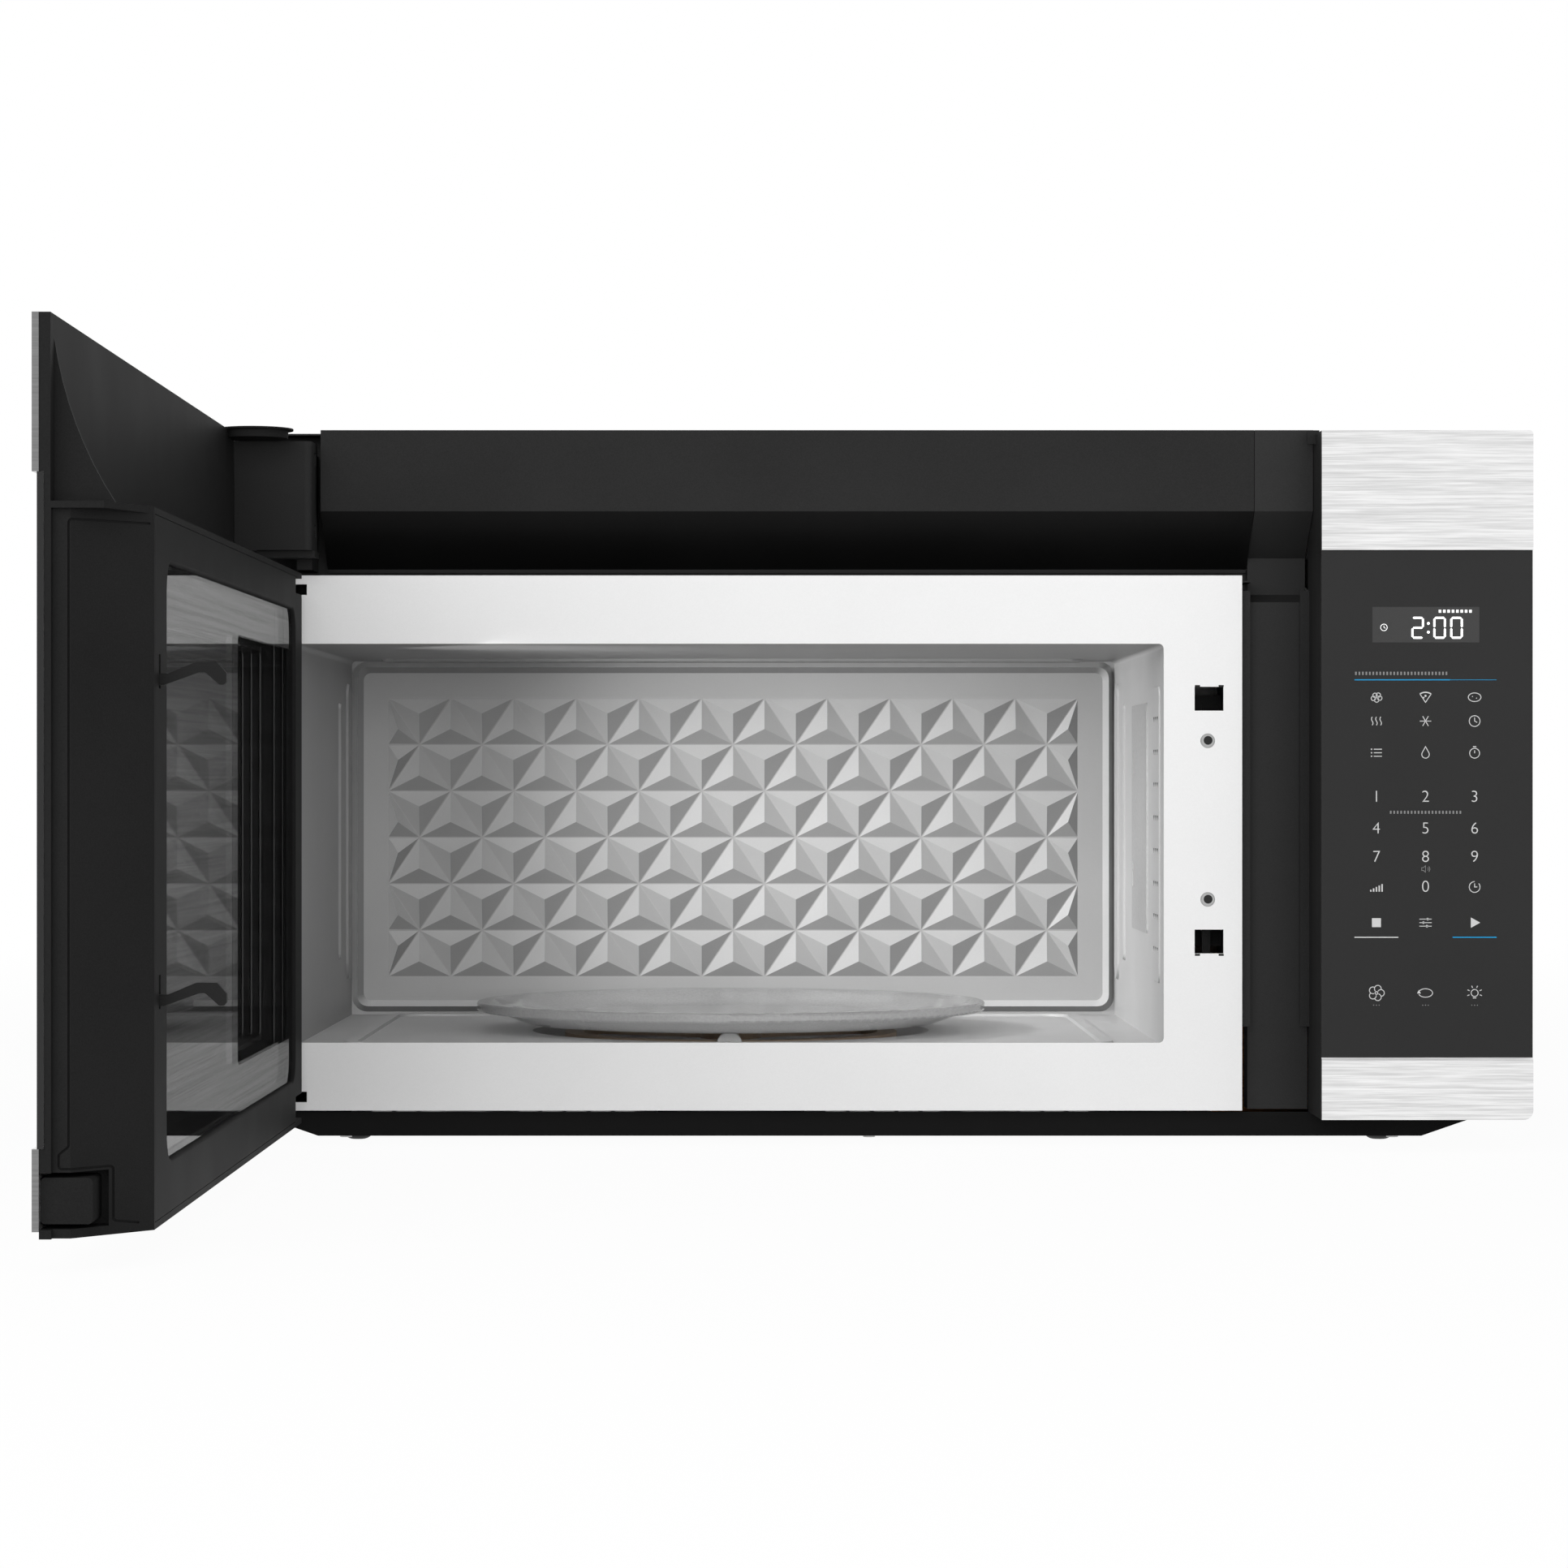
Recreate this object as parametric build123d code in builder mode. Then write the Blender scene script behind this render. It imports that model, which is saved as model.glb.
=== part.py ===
"""Over the range microwave: cabinet, oven cavity, turntable drive, side-hung door and air system.

Frame: the origin is the centre of the rear (wall) face, +X right, +Y to the wall, +Z up.
The door is drawn where it stands at rest, swung open by a right angle about its hinge.
"""
import os
from math import acos, cos, pi, radians, sin, sqrt

from build123d import *

os.makedirs("parts", exist_ok=True)

# ---------------------------------------------------------------- overall body
body_width = 759.0
body_depth = 404.0
body_height = 417.4
sheet = 1.0
seat_gap = 0.3
run_gap = 0.05

left = -body_width / 2
right = body_width / 2
top = body_height / 2
bottom = -body_height / 2
front = -body_depth

# ---------------------------------------------------------------- base pan and feet
foot_height = 4.2
foot_radius = 9.0
foot_inset_x = 75.8
foot_front_depth = 90.0
foot_rear_inset = 60.0
pan_front_depth = 60.0
pan_flat_inset = 55.0
pan_knee_inset = 27.5
pan_knee_rise = 9.5
pan_bottom = bottom + foot_height
pan_floor = pan_bottom + sheet

# ---------------------------------------------------------------- front plate and cavity
door_thickness = 47.0
door_gap = 2.0
plate_thickness = 1.2
plate_inset_left = 2.6
plate_side_gap = 5.9
plate_top_drop = 84.1
plate_bottom_rise = 19.9
panel_width = 121.4
column_width = 34.3
column_x1 = right - panel_width
column_x0 = column_x1 - column_width
plate_front = front + door_thickness + door_gap
plate_back = plate_front + plate_thickness
plate_x0 = left + plate_inset_left
plate_x1 = column_x0 - plate_side_gap
plate_z1 = top - plate_top_drop
plate_z0 = bottom + plate_bottom_rise

cavity_inset_left = 41.5
latch_land = 45.9
cavity_top_drop = 124.1
cavity_bottom_rise = 57.1
cavity_rear_space = 7.0
cavity_lip = 2.5
cavity_corner_top = 3.0
cavity_x0 = left + cavity_inset_left
cavity_x1 = plate_x1 - latch_land
cavity_z1 = top - cavity_top_drop
cavity_z0 = bottom + cavity_bottom_rise
cavity_y0 = plate_back
cavity_y1 = -cavity_rear_space
cavity_width = cavity_x1 - cavity_x0
cavity_height = cavity_z1 - cavity_z0
cavity_xm = (cavity_x0 + cavity_x1) / 2
cavity_ym = (cavity_y0 + cavity_y1) / 2
cavity_zm = (cavity_z0 + cavity_z1) / 2

# embossed field of the back wall
facet_columns = 11
facet_rows = 6
facet_margin_x = 24.3
facet_margin_z = 25.0
facet_depth = 4.5
facet_land = 0.35
facet_field_dz = 0.3
facet_pitch = (cavity_width - 2 * facet_margin_x) / facet_columns
facet_row_height = (cavity_height - 2 * facet_margin_z) / facet_rows
back_frame_width = 7.9
back_frame_depth = 6.0
back_frame_corner = 10.0

# pressed beads of the cavity walls, floor and ceiling
bead_height = 1.6
bead_slope = 30.0
side_bead_width = 8.0
side_bead_rear = 84.0
side_bead_drop = 29.6
side_bead_rise = 39.6
corner_bead_width = 22.0
corner_bead_rear = 29.0
corner_bead_drop = 15.6
corner_bead_rise = 24.6
ceiling_bead_inset = 25.0
ceiling_bead_rear = 20.0
ceiling_bead_length = 40.0
floor_bead_inset = 26.0
floor_bead_width = 9.0
floor_bead_corner = 24.0
lamp_pad_front = 72.0
lamp_pad_length = 39.0
lamp_pad_drop = 24.0
lamp_pad_rise = 36.0
lamp_slot_length = 8.0
lamp_slot_width = 3.0

# ---------------------------------------------------------------- turntable
turntable_setback = 0.6
turntable_y = cavity_ym - turntable_setback
turntable_x = cavity_xm
tray_wall_gap = 14.4
well_rim = 35.0
well_depth = 10.9
tray_slope = 31.0
tray_radius = (cavity_y1 - cavity_y0) / 2 - tray_wall_gap
tray_base_radius = tray_radius - tray_slope
well_radius = tray_radius - well_rim
tray_thickness = 4.0
tray_rise = 13.4
tray_lip = 6.0
ring_radius = well_radius - 20.0
ring_width = 12.0
ring_thickness = 4.5
hub_radius = 19.0
spoke_width = 10.0
roller_radius = 7.75
roller_width = 6.0
roller_orbit = ring_radius + 1.2
roller_pin_radius = 2.0
coupler_radius = 13.0
motor_radius = 25.0
motor_height = 17.0
drive_shaft_radius = 3.5
well_floor = cavity_z0 - well_depth
roller_z = well_floor + seat_gap + roller_radius
tray_underside = roller_z + roller_radius + seat_gap

# ---------------------------------------------------------------- control panel
panel_top_drop = 3.2
panel_bottom_rise = 18.3
panel_depth = 62.2
panel_wall = 2.5
panel_band_top = 68.7
panel_band_bottom = 35.7
skin = 3.0
glass_recess = 2.2
glass_thickness = 3.0
panel_corner_top = 2.0
panel_corner_bottom = 5.5
panel_x0 = column_x1
panel_z1 = top - panel_top_drop
panel_z0 = bottom + panel_bottom_rise
pan_rim = panel_z0
band_top_z = panel_z1 - panel_band_top
band_bottom_z = panel_z0 + panel_band_bottom
display_width = 62.0
display_height = 21.0
display_inset_x = 29.0
display_drop = 101.0
board_stand_off = 8.5
board_thickness = 1.6
board_margin = 8.0

# ---------------------------------------------------------------- vent cover, column and tower
vent_face_depth = 37.0
vent_top_depth = 61.8
vent_slope_depth = 78.0
vent_face_height = 47.3
vent_slope_drop = 79.2
vent_lip = 2.0
vent_wall = 2.0
vent_inset_left = 58.9
column_slope_depth = 74.0
column_slope_drop = 72.8
column_band_drop = 94.4
column_face_depth = 62.5
column_wall = 2.5
tower_width = 44.7
tower_depth = 30.0
tower_height = 62.9
tower_inset_left = 11.3
tower_front_depth = 16.0
tower_top_drop = 8.1
tower_radius = 4.0
tower_gap = 1.8
tower_sill = 3.8
tower_foot_width = 11.0
tower_foot_drop = 10.0
crossmember_depth = 80.0
crossmember_flange = 4.0

vent_x0 = left + vent_inset_left
vent_x1 = column_x0
crossmember_y = front + crossmember_depth

# ---------------------------------------------------------------- door, given closed
pivot_inset = 17.8
pivot_depth = 15.0
door_side_gap = 2.5
door_end_radius = 22.0
flange_wall = 5.0
shelf_drop = 84.5
shelf_wall = 3.0
door_bottom_rise = 15.1
door_floor_wall = 2.9
end_slope = 34.8
end_lip = 4.0
inner_edge = 5.0
well_over_left = 3.7
well_over_right = 11.3
well_over_top = 23.4
well_over_bottom = 20.4
window_in_left = 4.1
window_in_right = 27.1
window_in_top = 5.6
window_in_bottom = 9.6
rim_in_left = 3.3
rim_over_right = 4.4
rim_over_top = 17.2
rim_over_bottom = 15.0
rim_radius = 14.0
seam_width = 1.0
seam_depth = 1.5
seam_side = 0.2
seam_top_drop = 4.6
pocket_height = 24.4
pocket_side = 15.0
pocket_rise = 4.0
pad_side = 10.5
pad_height = 20.0
cover_thickness = 5.0
cover_border = 3.0
pane_thickness = 3.0
choke_wall = 1.5
choke_step = 22.0
screen_thickness = 0.6
lobe_thickness = 4.6
lobe_cap = 1.0
rib_inset = 12.5
rib_width = 26.4
rib_height = 71.0
rib_thickness = 2.4

pivot_x = left + pivot_inset
pivot_y = front + pivot_depth
well_left = cavity_x0 - well_over_left - pivot_x
well_right = cavity_x1 + well_over_right - pivot_x
well_top_z = cavity_z1 + well_over_top
well_bottom_z = cavity_z0 - well_over_bottom
window_left = cavity_x0 + window_in_left - pivot_x
window_right = cavity_x1 - window_in_right - pivot_x
window_top_z = cavity_z1 - window_in_top
window_bottom_z = cavity_z0 + window_in_bottom
rim_left = cavity_x0 + rim_in_left - pivot_x
rim_right = cavity_x1 + rim_over_right - pivot_x
rim_top_z = cavity_z1 + rim_over_top
rim_bottom_z = cavity_z0 - rim_over_bottom
door_u1 = panel_x0 - door_side_gap - pivot_x
door_v0 = -pivot_depth
door_v1 = door_thickness - pivot_depth
door_top = panel_z1
shelf_top = top - shelf_drop
shelf_underside = shelf_top - shelf_wall
door_bottom = bottom + door_bottom_rise
hinge_end_reach = 10.7
arc_u = door_end_radius - hinge_end_reach
arc_v = door_v0 + door_end_radius

# hinge plates and pins
hinge_plate_thickness = 3.0
hinge_plate_radius = 7.0
hinge_pin_radius = 3.0
hinge_pin_length = 22.0
hinge_upper_z = shelf_underside - 4.9
hinge_lower_z = plate_z0 + 7.95
hinge_flange_reach = 22.0
hinge_flange_depth = 24.0
hinge_slot_height = 6.2
hinge_slot_inset_left = 9.3
hinge_slot_width = 40.3
hinge_clearance = 0.8
notch_width = 26.0
bush_radius = 4.6
bush_flange = 2.8
bush_flange_radius = 5.4
hinge_slot_x0 = left + hinge_slot_inset_left
hinge_slot_x1 = hinge_slot_x0 + hinge_slot_width

# latch
latch_inset = 18.1
latch_drop = 38.7
latch_rise = 55.3
latch_thickness = 3.0
latch_travel = 2.5
latch_reach = 29.8
latch_bar_width = 14.0
hook_shank = 5.4
hook_rise = 10.6
hook_head = 13.5
latch_slot_width = 16.9
latch_slot_height = 14.0
latch_slot_drop = 0.5
latch_slot_lead = 9.75
latch_side_clearance = 0.5
latch_x = plate_x1 - latch_inset
latch_slot_x0 = latch_x - latch_slot_lead
latch_u = latch_x - pivot_x
latch_upper_z = cavity_z1 - latch_drop
latch_lower_z = cavity_z0 + latch_rise
plate_screw_offset = 17.65

# ---------------------------------------------------------------- air system and electrics
blower_rear = 112.0
blower_drop = 62.7
blower_wheel_radius = 42.0
blower_wheel_width = 52.0
blower_scroll_radius = 54.0
blower_scroll_wall = 1.5
blower_scroll_width = 62.0
blower_offset = 96.0
blower_motor_radius = 40.0
blower_motor_length = 92.0
blower_shaft_radius = 4.0
blower_blades = 20
blower_centre_x = cavity_xm
blower_y = -blower_rear
blower_z = top - blower_drop
duct_length = 83.0
fan_inset = 117.5
fan_drop = 116.7
fan_x = right - fan_inset
fan_z = top - fan_drop
fan_radius = 50.0
fan_frame = 118.0
fan_frame_depth = 34.0
fan_motor_radius = 17.0
fan_blades = 5
grommet_inset = 59.5
grommet_rear = 70.0
grommet_radius = 14.0
grommet_wall = 4.0
grommet_lip = 3.0
filter_pad_half = 158.0
grommet_x = right - grommet_inset
grommet_y = -grommet_rear
cabinet_bolt_inset = 84.5
cabinet_bolt_spacing = body_width - 2 * cabinet_bolt_inset
cabinet_bolt_radius = 3.3
cabinet_bolt_depth = 104.0
cabinet_bolt_y = front + cabinet_bolt_depth
bolt_nut_height = 6.0
filter_length = 180.0
filter_width = 120.0
filter_thickness = 5.0
filter_y = turntable_y - 4.0
filter_dx = 140.0
lamp_dx = 150.0
lamp_depth = 100.0
lamp_lens_radius = 24.0
mica_front = 151.0
mica_length = 101.0
mica_drop = 32.7
mica_rise = 63.0
mica_slot_width = 5.0
mica_slot_height = 15.0
mica_slot_inset = 4.0
mica_slot_drop = 28.2
mica_slot_rise = 26.8
mica_y0 = front + mica_front
mica_y1 = mica_y0 + mica_length
mica_top_z = cavity_z1 - mica_drop
mica_bottom_z = cavity_z0 + mica_rise
guide_width = 40.0
guide_overlap = 1.5
guide_rise = 19.4
guide_drop = 7.4
guide_y0 = mica_y0 - guide_overlap
guide_y1 = mica_y1 + guide_overlap
guide_top_z = cavity_z1 + guide_rise
guide_bottom_z = mica_bottom_z - guide_drop
magnetron_drop = 38.0
magnetron_z = guide_top_z - magnetron_drop
lever_rise = 5.2
lever_overrun = 1.7
lever_pivot_z = (latch_upper_z + latch_lower_z) / 2 + lever_rise
lever_length = lever_pivot_z - latch_lower_z + lever_overrun


# ---------------------------------------------------------------- helpers
def block(x, y, z, mode=Mode.ADD):
    """A box between pairs of coordinates, in the part being built."""
    with Locations(((x[0] + x[1]) / 2, (y[0] + y[1]) / 2, (z[0] + z[1]) / 2)):
        Box(abs(x[1] - x[0]), abs(y[1] - y[0]), abs(z[1] - z[0]), mode=mode)


def rect(x, y, radius=0.0, mode=Mode.ADD):
    """A rectangle between pairs of coordinates, in the sketch being built."""
    with Locations(((x[0] + x[1]) / 2, (y[0] + y[1]) / 2)):
        if radius > 0:
            RectangleRounded(abs(x[1] - x[0]), abs(y[1] - y[0]), radius, mode=mode)
        else:
            Rectangle(abs(x[1] - x[0]), abs(y[1] - y[0]), mode=mode)


def front_view(y):
    """A plane facing the room at depth y: sketch x is X, sketch y is Z, extruding goes forward."""
    return Plane(origin=(0, y, 0), x_dir=(1, 0, 0), z_dir=(0, -1, 0))


def side_view(x):
    """A plane across the body at x: sketch x is Y, sketch y is Z, extruding goes to +X."""
    return Plane(origin=(x, 0, 0), x_dir=(0, 1, 0), z_dir=(1, 0, 0))


def plan_view(z):
    """A level plane at height z, extruding goes up."""
    return Plane.XY.offset(z)


def door_plan(z):
    """A level plane in the open door: sketch x runs along the door, sketch y to its inner face."""
    return Plane(origin=(pivot_x, pivot_y, z), x_dir=(0, -1, 0), z_dir=(0, 0, 1))


def door_view(v):
    """A plane through the open door: sketch x along the door, sketch y up, extruding outwards."""
    return Plane(origin=(pivot_x + v, pivot_y, 0), x_dir=(0, -1, 0), z_dir=(-1, 0, 0))


def door_section(u):
    """A plane across the open door at u: sketch x to its inner face, sketch y up."""
    return Plane(origin=(pivot_x, pivot_y - u, 0), x_dir=(1, 0, 0), z_dir=(0, -1, 0))


def finish(part, name):
    """Label a finished piece and write it."""
    part.part.label = name
    export_step(part.part, f"parts/{name}.step")


# ================================================================ cabinet sheet metal
duct_x0 = blower_centre_x - blower_offset - blower_scroll_width / 2
duct_x1 = blower_centre_x + blower_offset + blower_scroll_width / 2
duct_y0 = blower_y - duct_length / 2
duct_y1 = blower_y + duct_length / 2

with BuildPart() as case_top:
    block((left, right), (plate_front, 0), (top - sheet, top))
    block((left - 1, right + 1), (plate_front - 1, front + column_face_depth),
          (top - sheet - 1, top + 1), mode=Mode.SUBTRACT)
    block((duct_x0, duct_x1), (duct_y0, duct_y1), (top - 2 * sheet, top + 1), mode=Mode.SUBTRACT)
    with Locations((0, cabinet_bolt_y, top)):
        with GridLocations(cabinet_bolt_spacing, 1, 2, 1):
            Hole(cabinet_bolt_radius, depth=2 * sheet)
    with Locations((grommet_x, grommet_y, top)):
        Hole(grommet_radius, depth=2 * sheet)
finish(case_top, "case_top")

with BuildPart() as case_side_panels:
    block((left, left + sheet), (plate_front, 0), (pan_rim, top - sheet))
    block((right - sheet, right), (front + column_face_depth, 0), (pan_rim, top - sheet))
finish(case_side_panels, "case_side_panels")

with BuildPart() as cabinet_bolt_nuts:
    with BuildSketch(plan_view(top - sheet)):
        with Locations((0, cabinet_bolt_y)):
            with GridLocations(cabinet_bolt_spacing, 1, 2, 1):
                RegularPolygon(cabinet_bolt_radius * 2.2, 6)
                Circle(cabinet_bolt_radius, mode=Mode.SUBTRACT)
    extrude(amount=-bolt_nut_height)
finish(cabinet_bolt_nuts, "cabinet_bolt_nuts")

rear_slot_z = pan_rim + 14
with BuildPart() as rear_panel:
    with BuildSketch(front_view(0)):
        rect((left + sheet, right - sheet), (pan_rim, top - sheet))
        with Locations((0, rear_slot_z)):
            with GridLocations(180, 1, 4, 1):
                SlotOverall(42, 8, mode=Mode.SUBTRACT)
        with Locations((fan_x, fan_z)):
            with GridLocations(1, 9, 1, 9):
                SlotOverall(84, 4, mode=Mode.SUBTRACT)
    extrude(amount=sheet)
finish(rear_panel, "rear_panel")

filter_x = [turntable_x - filter_dx, turntable_x + filter_dx]
lamp_y = front + lamp_depth
with BuildPart() as base_pan:
    with BuildSketch(front_view(0)) as pan_section:
        with BuildLine():
            Polyline(
                (left, pan_rim),
                (left + pan_knee_inset, pan_bottom + pan_knee_rise),
                (left + pan_flat_inset, pan_bottom),
                (right - pan_flat_inset, pan_bottom),
                (right - pan_knee_inset, pan_bottom + pan_knee_rise),
                (right, pan_rim),
                close=True,
            )
        make_face()
        with BuildLine():
            Polyline(
                (left + 2 * sheet, pan_rim),
                (left + pan_knee_inset + sheet, pan_bottom + pan_knee_rise + sheet),
                (left + pan_flat_inset + sheet / 2, pan_floor),
                (right - pan_flat_inset - sheet / 2, pan_floor),
                (right - pan_knee_inset - sheet, pan_bottom + pan_knee_rise + sheet),
                (right - 2 * sheet, pan_rim),
                close=True,
            )
        make_face(mode=Mode.SUBTRACT)
    extrude(amount=-(front + pan_front_depth))
    # front and rear walls fold up to meet the plate and the rear panel
    with BuildSketch(front_view(front + pan_front_depth + sheet)) as pan_wall:
        with BuildLine():
            Polyline(
                (left, pan_rim),
                (left + pan_knee_inset, pan_bottom + pan_knee_rise),
                (left + pan_flat_inset, pan_bottom),
                (right - pan_flat_inset, pan_bottom),
                (right - pan_knee_inset, pan_bottom + pan_knee_rise),
                (right, pan_rim),
                close=True,
            )
        make_face()
    extrude(amount=sheet)
    with BuildSketch(front_view(0)):
        add(pan_wall.sketch.moved(Location((0, -(front + pan_front_depth + sheet), 0))))
    extrude(amount=sheet)
    for x in filter_x:
        block((x - filter_length / 2, x + filter_length / 2),
              (filter_y - filter_width / 2, filter_y + filter_width / 2),
              (pan_bottom - 1, pan_floor + 1), mode=Mode.SUBTRACT)
    with Locations((turntable_x - lamp_dx, lamp_y, pan_bottom), (turntable_x + lamp_dx, lamp_y, pan_bottom)):
        Cylinder(lamp_lens_radius, 4 * sheet, mode=Mode.SUBTRACT)
finish(base_pan, "base_pan")

feet_x = right - foot_inset_x
feet_y = [front + foot_front_depth, -foot_rear_inset]
with BuildPart() as base_feet:
    for x in (-feet_x, feet_x):
        for y in feet_y:
            with BuildSketch(Plane(origin=(x, y, 0), x_dir=(1, 0, 0), z_dir=(0, -1, 0))):
                with BuildLine():
                    Line((0, pan_bottom), (foot_radius, pan_bottom))
                    ThreePointArc((foot_radius, pan_bottom),
                                  (foot_radius * 0.75, pan_bottom - foot_height * 0.72),
                                  (foot_radius * 0.3, bottom))
                    Line((foot_radius * 0.3, bottom), (0, bottom))
                    Line((0, bottom), (0, pan_bottom))
                make_face()
            revolve(axis=Axis((x, y, 0), (0, 0, 1)))
finish(base_feet, "base_feet")

# ================================================================ front plate and cavity
latch_slot_z = [latch_upper_z - latch_slot_drop, latch_lower_z - latch_slot_drop]
plate_screw_x = latch_slot_x0 + latch_slot_width / 2 - 0.8
plate_screw_z = [latch_slot_z[0] - plate_screw_offset,
                 latch_slot_z[1] + latch_slot_height + plate_screw_offset]
plate_screw_hole = 2.75
with BuildPart() as front_plate:
    with BuildSketch(front_view(plate_back)) as plate_face:
        rect((plate_x0, plate_x1), (plate_z0, plate_z1))
        rect((cavity_x0, cavity_x1), (cavity_z0 + cavity_lip, cavity_z1),
             cavity_corner_top, mode=Mode.SUBTRACT)
        for z in latch_slot_z:
            rect((latch_slot_x0, latch_slot_x0 + latch_slot_width), (z, z + latch_slot_height),
                 mode=Mode.SUBTRACT)
        with Locations(*[(plate_screw_x, z) for z in plate_screw_z]):
            Circle(plate_screw_hole, mode=Mode.SUBTRACT)
        for z in (hinge_upper_z, hinge_lower_z):
            rect((hinge_slot_x0, hinge_slot_x1),
                 (z - hinge_slot_height / 2, z + hinge_slot_height / 2), mode=Mode.SUBTRACT)
    extrude(amount=plate_thickness)
finish(front_plate, "front_plate")

lamp_pad_y0 = front + lamp_pad_front
lamp_pad_y1 = lamp_pad_y0 + lamp_pad_length
lamp_pad_ym = (lamp_pad_y0 + lamp_pad_y1) / 2
lamp_pad_z0 = cavity_z0 + lamp_pad_rise
lamp_pad_z1 = cavity_z1 - lamp_pad_drop
lamp_pad_height = lamp_pad_z1 - lamp_pad_z0
lamp_slot_rows = 8
with BuildPart() as cavity_shell:
    with BuildSketch(front_view(cavity_y0)) as shell_section:
        rect((cavity_x0 - sheet, cavity_x1 + sheet), (cavity_z0, cavity_z1 + sheet), cavity_corner_top)
        rect((cavity_x0 - sheet, cavity_x1 + sheet), (cavity_z0, cavity_z0 + 2 * cavity_corner_top))
        rect((cavity_x0, cavity_x1), (cavity_z0 - 3 * cavity_corner_top, cavity_z1), cavity_corner_top,
             mode=Mode.SUBTRACT)
    extrude(amount=-(cavity_y1 - cavity_y0))
    # opening behind the mica cover
    block((cavity_x1 - 1, cavity_x1 + sheet + 1), (mica_y0 + 13, mica_y1 - 13),
          (mica_bottom_z + 12, mica_top_z - 12), mode=Mode.SUBTRACT)
    # pressed beads of the side walls and the ceiling step
    for x, way in ((cavity_x0, 1), (cavity_x1, -1)):
        with BuildSketch(Plane(origin=(x, 0, 0), x_dir=(0, way, 0), z_dir=(way, 0, 0))):
            for rear, rise, drop, wide in ((side_bead_rear, side_bead_rise, side_bead_drop, side_bead_width),
                                           (corner_bead_rear, corner_bead_rise, corner_bead_drop,
                                            corner_bead_width)):
                bead_low, bead_high = cavity_z0 + rise, cavity_z1 - drop
                with Locations((way * (cavity_y1 - rear), (bead_low + bead_high) / 2)):
                    SlotOverall(bead_high - bead_low, wide, rotation=90)
        extrude(amount=bead_height, taper=bead_slope)
    with BuildSketch(Plane(origin=(0, 0, cavity_z1), x_dir=(1, 0, 0), z_dir=(0, 0, -1))):
        rect((cavity_x0 + ceiling_bead_inset, cavity_x1 - ceiling_bead_inset),
             (ceiling_bead_rear - cavity_y1, ceiling_bead_rear + ceiling_bead_length - cavity_y1), 8)
    extrude(amount=bead_height, taper=bead_slope)
    # raised pad with the slits in front of the oven lamp
    with BuildSketch(Plane(origin=(cavity_x1, 0, 0), x_dir=(0, -1, 0), z_dir=(-1, 0, 0))):
        with Locations((-lamp_pad_ym, (lamp_pad_z0 + lamp_pad_z1) / 2)):
            RectangleRounded(lamp_pad_length, lamp_pad_height, 6)
    extrude(amount=bead_height / 2, taper=bead_slope)
    with BuildSketch(side_view(cavity_x1 - bead_height)):
        with Locations((lamp_pad_ym, (lamp_pad_z0 + lamp_pad_z1) / 2)):
            with GridLocations(1.4 * lamp_slot_length, lamp_pad_height / (lamp_slot_rows + 1),
                               3, lamp_slot_rows):
                SlotOverall(lamp_slot_length, lamp_slot_width)
    extrude(amount=bead_height + 2 * sheet, mode=Mode.SUBTRACT)
finish(cavity_shell, "cavity_shell")

well_seam = 0.6 * sheet
well_foot_radius = well_radius - 0.6 * well_depth
with BuildPart() as cavity_floor:
    with BuildSketch(plan_view(cavity_z0 - sheet)):
        rect((cavity_x0 - sheet, cavity_x1 + sheet), (cavity_y0, cavity_y1))
        with Locations((turntable_x, turntable_y)):
            Circle(well_radius + well_seam, mode=Mode.SUBTRACT)
    extrude(amount=sheet)
    # pressed bead round the floor
    with BuildSketch(plan_view(cavity_z0)):
        bead_x = (cavity_x0 + floor_bead_inset, cavity_x1 - floor_bead_inset)
        bead_y = (cavity_y0 + floor_bead_inset / 2, cavity_y1 - floor_bead_inset / 2)
        rect(bead_x, bead_y, floor_bead_corner)
        rect((bead_x[0] + floor_bead_width, bead_x[1] - floor_bead_width),
             (bead_y[0] + floor_bead_width, bead_y[1] - floor_bead_width),
             floor_bead_corner - floor_bead_width, mode=Mode.SUBTRACT)
    extrude(amount=bead_height, taper=bead_slope)
finish(cavity_floor, "cavity_floor")

with BuildPart() as turntable_well_wall:
    with BuildSketch(Plane(origin=(turntable_x, turntable_y, 0), x_dir=(1, 0, 0), z_dir=(0, -1, 0))):
        with BuildLine():
            Polyline(
                (well_radius, cavity_z0),
                (well_foot_radius, well_floor),
                (well_foot_radius, well_floor - sheet),
                (well_foot_radius + well_seam, well_floor - sheet),
                (well_radius + well_seam, cavity_z0 - sheet),
                (well_radius + well_seam, cavity_z0),
                close=True,
            )
        make_face()
    revolve(axis=Axis((turntable_x, turntable_y, 0), (0, 0, 1)))
finish(turntable_well_wall, "turntable_well_wall")

with BuildPart() as turntable_well:
    with BuildSketch(plan_view(well_floor - sheet)):
        with Locations((turntable_x, turntable_y)):
            Circle(well_foot_radius)
            Circle(drive_shaft_radius + 3, mode=Mode.SUBTRACT)
    extrude(amount=sheet)
finish(turntable_well, "turntable_well")


def facet_triangles():
    """Corner triples of the embossed field, row by row, clipped at both side edges."""
    x0 = cavity_xm - facet_columns * facet_pitch / 2
    x1 = x0 + facet_columns * facet_pitch
    z0 = cavity_zm + facet_field_dz - facet_rows * facet_row_height / 2
    half = facet_pitch / 2
    triples = []
    for row in range(facet_rows):
        low = z0 + row * facet_row_height
        high = low + facet_row_height
        shift = half * (row % 2)
        for step in range(2 * facet_columns + 1):
            centre = x0 + step * half
            upright = (step + row) % 2 == 1
            base, apex = (low, high) if upright else (high, low)
            a, b = max(centre - half, x0), min(centre + half, x1)
            triples.append(((a, base), (b, base), (centre, apex)))
    return triples


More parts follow.
